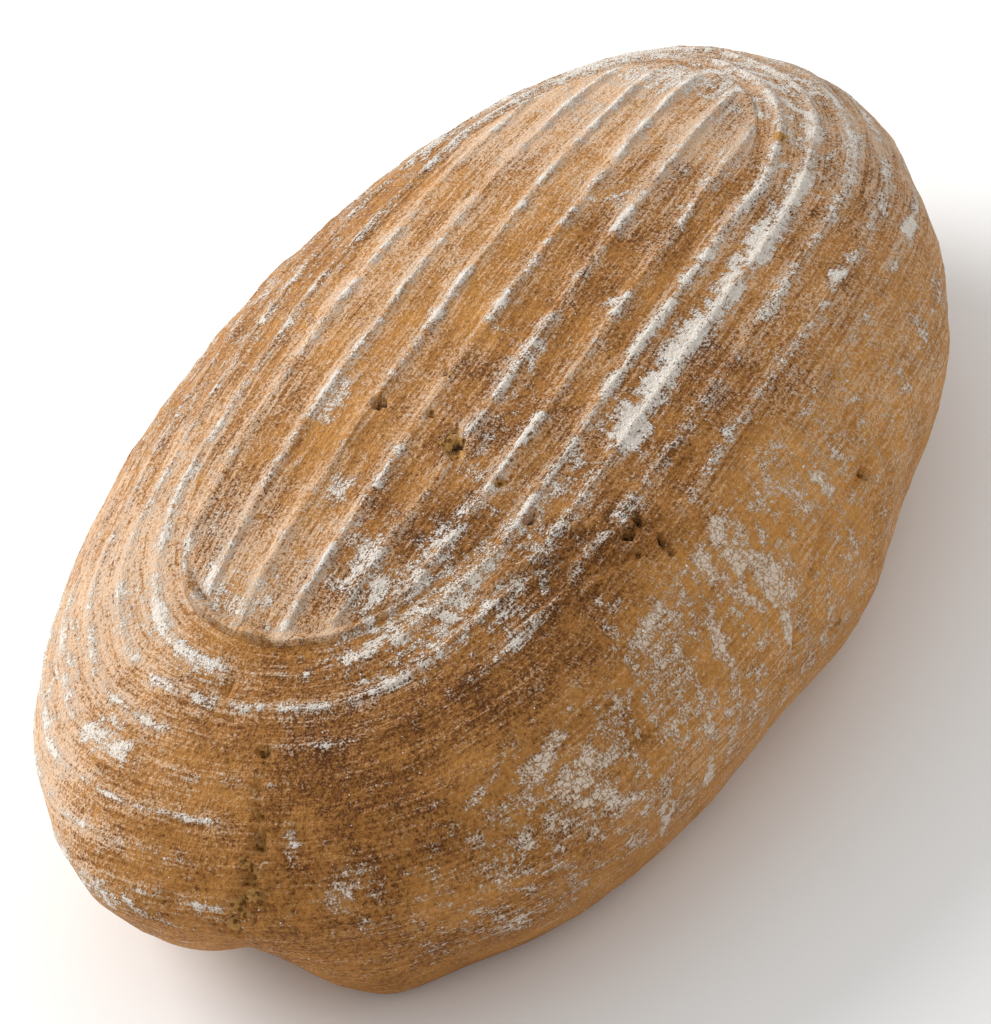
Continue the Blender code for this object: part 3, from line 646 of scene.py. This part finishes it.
def crust_faces(rows, columns, wall_rows):
    """Quads of the floor grid and of the rings, and the fan that closes the underside."""
    def at(i, j):
        return i * (columns + 1) + j

    i, j = np.meshgrid(np.arange(rows), np.arange(columns), indexing="ij")
    grid = np.stack([at(i, j), at(i, j + 1), at(i + 1, j + 1), at(i + 1, j)], axis=-1).reshape(-1, 4)
    loop = [at(0, j) for j in range(columns)] + [at(i, columns) for i in range(rows)]
    loop += [at(rows, j) for j in range(columns, 0, -1)] + [at(i, 0) for i in range(rows, 0, -1)]
    count = len(loop)
    base = (rows + 1) * (columns + 1)
    rings = np.vstack([loop, base + np.arange(wall_rows * count).reshape(wall_rows, count)])
    upper, lower = rings[:-1], rings[1:]
    bands = np.stack([upper, lower, np.roll(lower, -1, axis=1), np.roll(upper, -1, axis=1)], axis=-1).reshape(-1, 4)
    last = rings[-1]
    centre = base + wall_rows * count
    fan = np.stack([last, np.full(count, centre), np.roll(last, -1)], axis=-1)
    return grid, bands, fan


def fit_in_box(points, box):
    """Moves and very slightly shrinks points so that they fill the solid's box without leaving it."""
    low, high = points.min(axis=0), points.max(axis=0)
    box_low, box_high = (np.array(corner) / MM for corner in box)
    inset = np.full(3, BOX_INSET)
    want_low, want_high = box_low + inset * (1, 1, 0), box_high - inset
    scale = (want_high - want_low) / (high - low)
    return want_low + (points - low) * scale


# The amounts each vertex carries. The hole amount is painted shade, and the amount for how brown the crust baked also
# holds some painted shade
SURFACE_NAMES = ("flour", "haze", "cracked", "crumb", "painted_hole_shade", "bake_and_shade")

# How much of the crust the two kinds of flour hide where they are densest
THICK_COVER, THIN_COVER = 0.90, 0.76


def surface_values(mesh, name, values):
    """Writes one number for each vertex of a mesh."""
    layer = mesh.attributes.new(name, "FLOAT", "POINT")
    layer.data.foreach_set("value", np.asarray(values, dtype=np.float32).ravel())


def linear(hex_colour):
    """Linear colour of an sRGB hex value."""
    parts = [int(hex_colour[i:i + 2], 16) / 255.0 for i in (1, 3, 5)]
    return tuple(c / 12.92 if c <= 0.04045 else ((c + 0.055) / 1.055) ** 2.4 for c in parts)


def per_mm(size):
    """Texture scale that makes a pattern about this many millimetres across."""
    return 1000.0 / size


def add(tree, kind, inputs=None, output=0, **settings):
    """Adds one node with its settings, links or sets its inputs, and returns one of its outputs."""
    node = tree.nodes.new(kind)
    for name, value in settings.items():
        setattr(node, name, value)
    for name, value in (inputs or {}).items():
        if isinstance(value, bpy.types.NodeSocket):
            tree.links.new(value, node.inputs[name])
        else:
            node.inputs[name].default_value = value
    return node.outputs[output] if len(node.outputs) else node


def new_material(name):
    """A material without nodes yet, and its node tree."""
    material = bpy.data.materials.new(name)
    material.use_nodes = True
    material.node_tree.nodes.clear()
    return material, material.node_tree


def crust_material(colours):
    """Baked rye crust: dry and matt, golden where it is thin over the crumb and brown where it baked longest, with
    painted shade: brown also away from the light and in crumb cells, deep brown in holes and grooves, and greyer flour
    where its grain sits low.
    """
    material, tree = new_material("baked rye crust")
    place = add(tree, "ShaderNodeTexCoord", output="Object")
    cane = add(tree, "ShaderNodeAttribute", output="Vector", attribute_name="cane")
    value = {name: add(tree, "ShaderNodeAttribute", output="Fac", attribute_name=name) for name in SURFACE_NAMES}
    tint = {name: (*getattr(colours, name), 1.0) for name in colours.__annotations__}

    # grains of crust 1 mm across, specks of half that, threads printed by the cane 0.75 mm apart, and clumps of
    # flour 3 mm across, each about its own middle
    pattern = {}
    for name, source, scale, detail, rough in (("grains", place, per_mm(0.97), 2.0, 0.7),
                                               ("specks", place, per_mm(0.44), 1.0, 0.6),
                                               ("threads", cane, 1.0 / 0.75, 2.0, 0.7),
                                               ("clumps", place, per_mm(3.1), 3.0, 0.6)):
        level = add(tree, "ShaderNodeTexNoise",
                    {"Vector": source, "Scale": scale, "Detail": detail, "Roughness": rough})
        pattern[name] = add(tree, "ShaderNodeMath", {0: level, 1: 0.5}, operation="SUBTRACT")

    # each amount on the surface is made uneven by the patterns, then runs from none to all between two levels
    value["height"] = 0.5
    for name, source, parts, low, high in (
            ("baked", "bake_and_shade", (("threads", -0.8), ("grains", 1.35), ("clumps", 0.6)), None, None),
            ("deep", "baked", (("specks", -1.6),), 0.74, 1.42),
            ("crumb", "crumb", (("grains", 0.9), ("clumps", 0.6)), 0.38, 0.60),
            ("painted_hole_shade", "painted_hole_shade", (("grains", 0.7), ("specks", -0.5)), 0.22, 0.88),
            ("thick", "flour", (("specks", 1.4), ("grains", -1.0), ("clumps", 1.5), ("threads", 0.8)), 0.38, 0.86),
            ("thin", "haze", (("specks", 1.6), ("grains", -1.2), ("threads", 1.4), ("clumps", 0.8)), 0.12, 0.86),
            ("height", "height", (("grains", -1.1), ("specks", 0.35), ("threads", 0.40)), None, None)):
        total = value[source]
        for part, weight in parts:
            total = add(tree, "ShaderNodeMath", {0: pattern[part], 1: weight, 2: total}, operation="MULTIPLY_ADD")
        if low is not None:
            total = add(tree, "ShaderNodeMapRange", {"Value": total, "From Min": low, "From Max": high},
                        interpolation_type="SMOOTHSTEP")
        value[name] = total

    # torn places show crumb: open cells about 1 mm across, their floors painted brown as shade so that the thin walls
    # stand out bright
    cells = add(tree, "ShaderNodeTexVoronoi", {"Vector": place, "Scale": per_mm(1.25)}, output="Distance")
    cell_floor = add(tree, "ShaderNodeMapRange", {"Value": cells, "From Min": 0.52, "From Max": 0.20},
                     interpolation_type="SMOOTHSTEP")
    crumb_with_painted_cell_shade = add(tree, "ShaderNodeMix", {0: cell_floor, 6: tint["crumb"], 7: tint["brown"]}, 2, data_type="RGBA")

    # the oven stretched the crust, and its flour broke into plates between 1 and 2 mm across
    shake = add(tree, "ShaderNodeTexNoise", {"Vector": place, "Scale": per_mm(1.6), "Detail": 1.0}, output="Color")
    shaken = add(tree, "ShaderNodeVectorMath", {0: shake, 1: (0.0024, 0.0024, 0.0024), 2: place},
                 operation="MULTIPLY_ADD")
    plates = add(tree, "ShaderNodeTexVoronoi", {"Vector": shaken, "Scale": per_mm(1.7)}, feature="DISTANCE_TO_EDGE")
    gaps = add(tree, "ShaderNodeMapRange", {"Value": plates, "From Min": 0.07, "From Max": 0.015},
               interpolation_type="SMOOTHSTEP")
    gaps = add(tree, "ShaderNodeMath", {0: gaps, 1: value["cracked"]}, operation="MULTIPLY")
    whole = add(tree, "ShaderNodeMath", {0: gaps, 1: -0.9, 2: 1.0}, operation="MULTIPLY_ADD")
    thick = add(tree, "ShaderNodeMath", {0: value["thick"], 1: whole}, operation="MULTIPLY")

    # flour lies in crisp clumps where much of it stayed and as a warm veil elsewhere, and none lies in torn places or
    # under the painted shade of holes and grooves
    torn = add(tree, "ShaderNodeMath", {0: value["crumb"], 1: value["painted_hole_shade"]}, operation="MAXIMUM")
    sound = add(tree, "ShaderNodeMath", {0: 1.0, 1: torn}, operation="SUBTRACT", use_clamp=True)
    thick = add(tree, "ShaderNodeMath", {0: thick, 1: sound}, operation="MULTIPLY")
    thick_cover = add(tree, "ShaderNodeMath", {0: thick, 1: THICK_COVER}, operation="MULTIPLY")
    thin = add(tree, "ShaderNodeMath", {0: value["thin"], 1: sound}, operation="MULTIPLY")
    thin_cover = add(tree, "ShaderNodeMath", {0: thin, 1: THIN_COVER}, operation="MULTIPLY")
    # painted shade: flour is mixed towards a darker copy of itself where the crust's grain sits low
    mottle = add(tree, "ShaderNodeMath", {0: pattern["grains"], 1: 0.45}, operation="ADD", use_clamp=True)
    flour_colour = add(tree, "ShaderNodeMix", {0: mottle, 6: tint["flour"], 7: tint["flour_shade"]}, 2,
                       data_type="RGBA")
    faded = add(tree, "ShaderNodeMath", {0: value["cracked"], 1: 0.5}, operation="MULTIPLY")
    flour_colour = add(tree, "ShaderNodeMix", {0: faded, 6: flour_colour, 7: tint["veil"]}, 2, data_type="RGBA")
    # painted shade: the deep brown hole colour is laid in holes, grooves and the seam's crack
    colour = tint["golden"]
    for amount, over in ((value["baked"], tint["brown"]), (value["deep"], tint["fleck"]),
                         (value["crumb"], crumb_with_painted_cell_shade), (value["painted_hole_shade"], tint["hollow"]), (thin_cover, tint["veil"]),
                         (thick_cover, flour_colour)):
        colour = add(tree, "ShaderNodeMix", {0: amount, 6: colour, 7: over}, 2, data_type="RGBA")

    # grit of the crust, the print of the cane's fibres and the layer of flour, all under half a millimetre high
    open_cells = add(tree, "ShaderNodeMath", {0: cell_floor, 1: value["crumb"]}, operation="MULTIPLY")
    height = add(tree, "ShaderNodeMath", {0: open_cells, 1: -0.85, 2: value["height"]}, operation="MULTIPLY_ADD")
    height = add(tree, "ShaderNodeMath", {0: thick, 1: 0.35, 2: height}, operation="MULTIPLY_ADD")
    relief = add(tree, "ShaderNodeBump", {"Height": height, "Strength": 1.0, "Distance": 0.0006})
    rough = add(tree, "ShaderNodeMapRange", {"Value": thick_cover, "To Min": 0.66, "To Max": 0.92})
    shader = add(tree, "ShaderNodeBsdfPrincipled",
                 {"Base Color": colour, "Roughness": rough, "Normal": relief, "IOR": 1.45, "Specular IOR Level": 0.16})
    add(tree, "ShaderNodeOutputMaterial", {"Surface": shader})
    return material


def flour_material(name, light, shade):
    """Rye flour in lumps: chalky and matt, with a painted shade colour mixed in by the same noise that raises its
    bumps.
    """
    material, tree = new_material(name)
    place = add(tree, "ShaderNodeTexCoord", output="Object")
    mottle = add(tree, "ShaderNodeTexNoise", {"Vector": place, "Scale": per_mm(0.5), "Detail": 2.0})
    # painted shade: the darker flour colour is mixed in where the noise runs high
    colour = add(tree, "ShaderNodeMix", {0: mottle, 6: (*light, 1.0), 7: (*shade, 1.0)}, 2, data_type="RGBA")
    relief = add(tree, "ShaderNodeBump", {"Height": mottle, "Strength": 0.6, "Distance": 0.0001})
    shader = add(tree, "ShaderNodeBsdfPrincipled", {"Base Color": colour, "Normal": relief, "Roughness": 0.95,
                                                    "IOR": 1.45, "Specular IOR Level": 0.2})
    add(tree, "ShaderNodeOutputMaterial", {"Surface": shader})
    return material


def floor_material(colour):
    """Painted studio table: plain, pale and matt."""
    material, tree = new_material("pale studio table")
    place = add(tree, "ShaderNodeTexCoord", output="Object")
    mottle = add(tree, "ShaderNodeTexNoise", {"Vector": place, "Scale": 6.0, "Detail": 2.0})
    shade = tuple(0.985 * part for part in colour)
    tint = add(tree, "ShaderNodeMix", {0: mottle, 6: (*colour, 1.0), 7: (*shade, 1.0)}, 2, data_type="RGBA")
    shader = add(tree, "ShaderNodeBsdfPrincipled", {"Base Color": tint, "Roughness": 0.9, "Specular IOR Level": 0.1})
    add(tree, "ShaderNodeOutputMaterial", {"Surface": shader})
    return material


def finish_piece(thing):
    """Ties a finished piece to the loaf's one body."""
    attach(thing, "root")


def scatter_tree(name, material):
    """Geometry Nodes that strew small lumps over a surface, most where an amount on its vertices is high."""
    tree = bpy.data.node_groups.new(name, "GeometryNodeTree")
    face = tree.interface
    face.new_socket("Geometry", in_out="INPUT", socket_type="NodeSocketGeometry")
    face.new_socket("Geometry", in_out="OUTPUT", socket_type="NodeSocketGeometry")
    sockets = {}
    for label, kind, value in (("Per square metre", "NodeSocketFloat", 1.0e5), ("Smallest", "NodeSocketFloat", 0.0002),
                               ("Largest", "NodeSocketFloat", 0.0005), ("Flatness", "NodeSocketFloat", 0.6),
                               ("Seed", "NodeSocketInt", 1)):
        socket = face.new_socket(label, in_out="INPUT", socket_type=kind)
        socket.default_value = value
        sockets[label] = socket.identifier
    came = add(tree, "NodeGroupInput").node.outputs
    amount = add(tree, "GeometryNodeInputNamedAttribute", {"Name": "strewn"}, data_type="FLOAT")
    density = add(tree, "ShaderNodeMath", {0: amount, 1: came["Per square metre"]}, operation="MULTIPLY")
    spots = add(tree, "GeometryNodeDistributePointsOnFaces",
                {"Mesh": came["Geometry"], "Density": density, "Seed": came["Seed"]}, distribute_method="RANDOM")
    lump = add(tree, "GeometryNodeMeshIcoSphere", {"Radius": 1.0, "Subdivisions": 1})
    size = add(tree, "FunctionNodeRandomValue", {2: came["Smallest"], 3: came["Largest"], "Seed": came["Seed"]}, 1,
               data_type="FLOAT")
    flat = add(tree, "ShaderNodeMath", {0: size, 1: came["Flatness"]}, operation="MULTIPLY")
    long = add(tree, "FunctionNodeRandomValue", {2: 0.7, 3: 1.5, "Seed": came["Seed"]}, 1, data_type="FLOAT")
    wide = add(tree, "ShaderNodeMath", {0: size, 1: long}, operation="MULTIPLY")
    scale = add(tree, "ShaderNodeCombineXYZ", {"X": size, "Y": wide, "Z": flat})
    spin = add(tree, "FunctionNodeRandomValue", {2: 0.0, 3: 6.283, "Seed": came["Seed"]}, 1, data_type="FLOAT")
    turn = add(tree, "ShaderNodeCombineXYZ", {"Z": spin})
    turned = add(tree, "FunctionNodeRotateRotation", {0: spots.node.outputs["Rotation"], 1: turn},
                 rotation_space="LOCAL")
    placed = add(tree, "GeometryNodeInstanceOnPoints", {"Points": spots, "Instance": lump, "Rotation": turned,
                                                        "Scale": scale})
    real = add(tree, "GeometryNodeRealizeInstances", {0: placed})
    dressed = add(tree, "GeometryNodeSetMaterial", {"Geometry": real, "Material": material})
    add(tree, "NodeGroupOutput", {0: dressed})
    return tree, sockets


def strew(name, crust, strewn, material, values):
    """A plain mesh of small lumps strewn over the crust, as one finished piece."""
    mesh = crust.data.copy()
    surface_values(mesh, "strewn", strewn)
    thing = bpy.data.objects.new(name, mesh)
    bpy.context.scene.collection.objects.link(thing)
    tree, sockets = scatter_tree("strew " + name.replace("_", " "), material)
    layer = thing.modifiers.new("strew", "NODES")
    layer.node_group = tree
    for label, value in values.items():
        layer[sockets[label]] = value
    bpy.context.view_layer.update()
    made = bpy.data.meshes.new_from_object(thing.evaluated_get(bpy.context.evaluated_depsgraph_get()))
    made.name = name
    thing.modifiers.remove(layer)
    thing.data = made
    bpy.data.meshes.remove(mesh)
    for attribute in [a.name for a in made.attributes if not a.is_internal and not a.is_required]:
        if attribute in made.attributes and attribute != "sharp_face":
            made.attributes.remove(made.attributes[attribute])
    if not made.polygons:
        raise RuntimeError("nothing was strewn for " + name)
    made.shade_smooth()
    finish_piece(thing)
    return thing


def panel_length(name, description, millimetres, least_m=0.0):
    """A length for the panel."""
    return bpy.props.FloatProperty(name=name, description=description, default=millimetres * MM, min=least_m,
                                   unit="LENGTH", precision=5)


def panel_colour(name, description, hex_colour):
    """A colour for the panel."""
    return bpy.props.FloatVectorProperty(name=name, description=description, default=linear(hex_colour), size=3,
                                         min=0.0, max=1.0, subtype="COLOR")


class LoafSizes(bpy.types.PropertyGroup):
    ridge_height: panel_length("Ridge height", "Height of a straight ridge over its trough", 1.2)
    ridge_width: panel_length("Ridge width", "Half width of a ridge at a third of its height", 1.05, 0.0002)
    ring_height: panel_length("Ring height", "Height of a ring on the wall", 0.8)
    trough_depth: panel_length("Trough depth", "How far the troughs sink between ridges", 0.22)
    lump_size: panel_length("Flour lump size", "Half width of the largest flour lump", 0.26, 0.0001)
    speck_size: panel_length("Flour speck size", "Half width of the largest loose speck", 0.16, 0.0001)


class LoafColours(bpy.types.PropertyGroup):
    golden: panel_colour("Golden crust", "Thin crust over the crumb", "#c68d4a")
    # Brown is real baked crust, and is also laid as painted shade away from the light and on the floors of crumb cells
    brown: panel_colour("Brown crust", "Crust that baked longest", "#845424")
    fleck: panel_colour("Bran fleck", "Dark flecks of bran in the crust", "#4e2d12")
    crumb: panel_colour("Torn crumb", "Crumb that shows where the skin tore", "#b78a4e")
    # Painted shade: the deep brown laid at the bottom of deep holes, in grooves and in the seam's crack
    hollow: panel_colour("Deep hole", "Bottom of the deepest holes", "#3b2410")
    flour: panel_colour("Flour", "Flour where it lies thick", "#e6e0d7")
    veil: panel_colour("Thin flour", "Flour so thin that the crust warms it", "#dfc3a8")
    # Painted shade: a darker copy of the flour, mixed in where the grain sits low and by the noise on the lumps
    flour_shade: panel_colour("Shaded flour", "Flour where it lies thin", "#cfc3b3")
    table: panel_colour("Studio table", "Plain pale floor", "#f6f6f5")


class LOAF_OT_crust(bpy.types.Operator):
    """Build the crust with the basket's print, its holes and its folds"""
    bl_idname = "loaf.crust"
    bl_label = "Crust"

    def execute(self, context):
        sizes, colours = context.scene.loaf_sizes, context.scene.loaf_colours
        lines = floor_lines()
        floor, floor_values, floor_cane = floor_sheet(lines, sizes)
        wall, wall_values, wall_cane = wall_sheet(lines, sizes)
        foot, middle = foot_sheet(wall[-1])
        points = np.concatenate([floor.reshape(-1, 3), wall.reshape(-1, 3), foot.reshape(-1, 3), middle[None]])
        points = fit_in_box(points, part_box("loaf"))
        grid, bands, fan = crust_faces(floor.shape[0] - 1, floor.shape[1] - 1, wall.shape[0] + foot.shape[0])
        mesh = bpy.data.meshes.new("crust")
        mesh.from_pydata((points * MM).tolist(), [], grid.tolist() + bands.tolist() + fan.tolist())
        under = foot.shape[0] * foot.shape[1] + 1
        plain = {"flour": 0.45, "haze": 0.40, "cracked": 0.4, "crumb": 0.0, "painted_hole_shade": 0.0, "bake_and_shade": 0.7}
        for name in floor_values:
            surface_values(mesh, name, np.concatenate([floor_values[name].ravel(), wall_values[name].ravel(),
                                                       np.full(under, plain[name])]))
        cane = np.concatenate([floor_cane.reshape(-1, 3), wall_cane.reshape(-1, 3),
                               points[-under:] * (0.4, 0.4, 0.4)])
        layer = mesh.attributes.new("cane", "FLOAT_VECTOR", "POINT")
        layer.data.foreach_set("vector", cane.astype(np.float32).ravel())
        tidy = bmesh.new()
        tidy.from_mesh(mesh)
        bmesh.ops.recalc_face_normals(tidy, faces=tidy.faces)
        tidy.to_mesh(mesh)
        tidy.free()
        mesh.shade_smooth()
        mesh.materials.append(crust_material(colours))
        thing = bpy.data.objects.new("crust", mesh)
        context.scene.collection.objects.link(thing)
        finish_piece(thing)
        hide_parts("loaf")
        return {"FINISHED"}


class LOAF_OT_flour(bpy.types.Operator):
    """Strew flour lumps and loose specks over the crust"""
    bl_idname = "loaf.flour"
    bl_label = "Flour"

    def execute(self, context):
        sizes, colours = context.scene.loaf_sizes, context.scene.loaf_colours
        crust = bpy.data.objects["crust"]
        count = len(crust.data.vertices)
        held, cracked, place = np.empty(count), np.empty(count), np.empty(count * 3)
        crust.data.attributes["flour"].data.foreach_get("value", held)
        crust.data.attributes["cracked"].data.foreach_get("value", cracked)
        crust.data.vertices.foreach_get("co", place)
        above = step_between(CLEAN_BELOW_M, FLOURED_ABOVE_M, place.reshape(-1, 3)[:, 2])
        lumpy = above * (1.0 - cracked) * step_between(0.45, 1.0, held)
        dusty = above * (0.03 + 0.5 * (1.0 - cracked) * step_between(0.25, 0.9, held))
        for name, finish, strewn, many, least, most, flat, seed in (
                ("flour_lumps", "rye flour in lumps", lumpy, LUMPS_PER_M2, SMALLEST_LUMP, sizes.lump_size,
                 LUMP_FLATNESS, LUMP_SEED),
                ("flour_specks", "loose rye flour", dusty, SPECKS_PER_M2, SMALLEST_SPECK, sizes.speck_size,
                 SPECK_FLATNESS, SPECK_SEED)):
            strew(name, crust, strewn, flour_material(finish, colours.flour, colours.flour_shade),
                  {"Per square metre": many, "Smallest": least * MM, "Largest": most, "Flatness": flat, "Seed": seed})
        return {"FINISHED"}


class LOAF_OT_stage(bpy.types.Operator):
    """Set the pale table, the soft studio light and the camera"""
    bl_idname = "loaf.stage"
    bl_label = "Stage"

    def execute(self, context):
        scene = context.scene
        scene.view_settings.view_transform = "Standard"
        half = TABLE_HALF_M
        mesh = bpy.data.meshes.new("studio_table")
        mesh.from_pydata([(-half, -half, 0.0), (half, -half, 0.0), (half, half, 0.0), (-half, half, 0.0)], [],
                         [(0, 1, 2, 3)])
        mesh.materials.append(floor_material(scene.loaf_colours.table))
        table = bpy.data.objects.new("studio_table", mesh)
        scene.collection.objects.link(table)
        for name, towards, away, size, power in SOFT_LIGHTS:
            lamp = bpy.data.lights.new(name, "AREA")
            lamp.shape, lamp.size, lamp.energy = "DISK", size, power
            thing = bpy.data.objects.new(name, lamp)
            where = Vector(towards).normalized() * away
            thing.location = where
            thing.rotation_mode = "QUATERNION"
            thing.rotation_quaternion = (Vector((0.0, 0.0, 0.04)) - where).to_track_quat("-Z", "Y")
            scene.collection.objects.link(thing)
        world = bpy.data.worlds.new("soft room")
        world.use_nodes = True
        world.node_tree.nodes["Background"].inputs["Color"].default_value = (1.0, 1.0, 1.0, 1.0)
        world.node_tree.nodes["Background"].inputs["Strength"].default_value = ROOM_LIGHT
        scene.world = world
        scene.camera = camera_object()
        return {"FINISHED"}


def camera_axes():
    """The camera's back, right and up directions before its roll."""
    turn, lift = math.radians(CAMERA_ROUND), math.radians(CAMERA_ABOVE)
    back = Vector((math.sin(turn) * math.cos(lift), -math.cos(turn) * math.cos(lift), math.sin(lift)))
    right = Vector((math.cos(turn), math.sin(turn), 0.0))
    return back, right, back.cross(right)


def camera_object():
    """The photograph's view, turned a little so that the loaf stands where it does in the picture, with no shift."""
    back, right, up = camera_axes()
    roll = math.radians(CAMERA_ROLL)
    side = right * math.cos(roll) + up * math.sin(roll)
    top = up * math.cos(roll) - right * math.sin(roll)
    target = Vector((CAMERA_TARGET[0] + SPINE[0], CAMERA_TARGET[1] + SPINE[1], CAMERA_TARGET[2])) * MM
    place = target + back * CAMERA_DISTANCE * MM
    off_x = (PICTURE_WIDTH / 2 - TARGET_IN_PICTURE[0]) / PICTURE_FOCAL
    off_y = (PICTURE_HEIGHT / 2 - TARGET_IN_PICTURE[1]) / PICTURE_FOCAL
    back = (back - side * off_x + top * off_y).normalized()
    side = (side - back * side.dot(back)).normalized()
    top = back.cross(side)
    lens = bpy.data.cameras.new("photo_camera")
    lens.sensor_width = SENSOR
    lens.lens = PICTURE_FOCAL * SENSOR / max(PICTURE_WIDTH, PICTURE_HEIGHT)
    lens.clip_start, lens.clip_end = 0.05, 20.0
    thing = bpy.data.objects.new("photo_camera", lens)
    turn = Matrix((side, top, back)).transposed().to_4x4()
    thing.matrix_world = Matrix.Translation(place) @ turn
    bpy.context.scene.collection.objects.link(thing)
    return thing


class LOAF_PT_panel(bpy.types.Panel):
    bl_label = "Rye Loaf"
    bl_idname = "LOAF_PT_panel"
    bl_space_type = "VIEW_3D"
    bl_region_type = "UI"
    bl_category = "Loaf"

    def draw(self, context):
        layout = self.layout
        for group in (context.scene.loaf_sizes, context.scene.loaf_colours):
            for name in group.__annotations__:
                layout.prop(group, name)
        for piece in PIECES:
            layout.operator(piece.bl_idname)


PIECES = (LOAF_OT_crust, LOAF_OT_flour, LOAF_OT_stage)
CLASSES = (LoafSizes, LoafColours) + PIECES + (LOAF_PT_panel,)


def register():
    for each in CLASSES:
        bpy.utils.register_class(each)
    bpy.types.Scene.loaf_sizes = bpy.props.PointerProperty(type=LoafSizes)
    bpy.types.Scene.loaf_colours = bpy.props.PointerProperty(type=LoafColours)


def unregister():
    del bpy.types.Scene.loaf_colours
    del bpy.types.Scene.loaf_sizes
    for each in reversed(CLASSES):
        bpy.utils.unregister_class(each)


def main():
    register()
    bpy.ops.loaf.crust()
    bpy.ops.loaf.flour()
    bpy.ops.loaf.stage()


if __name__ == "__main__":
    main()
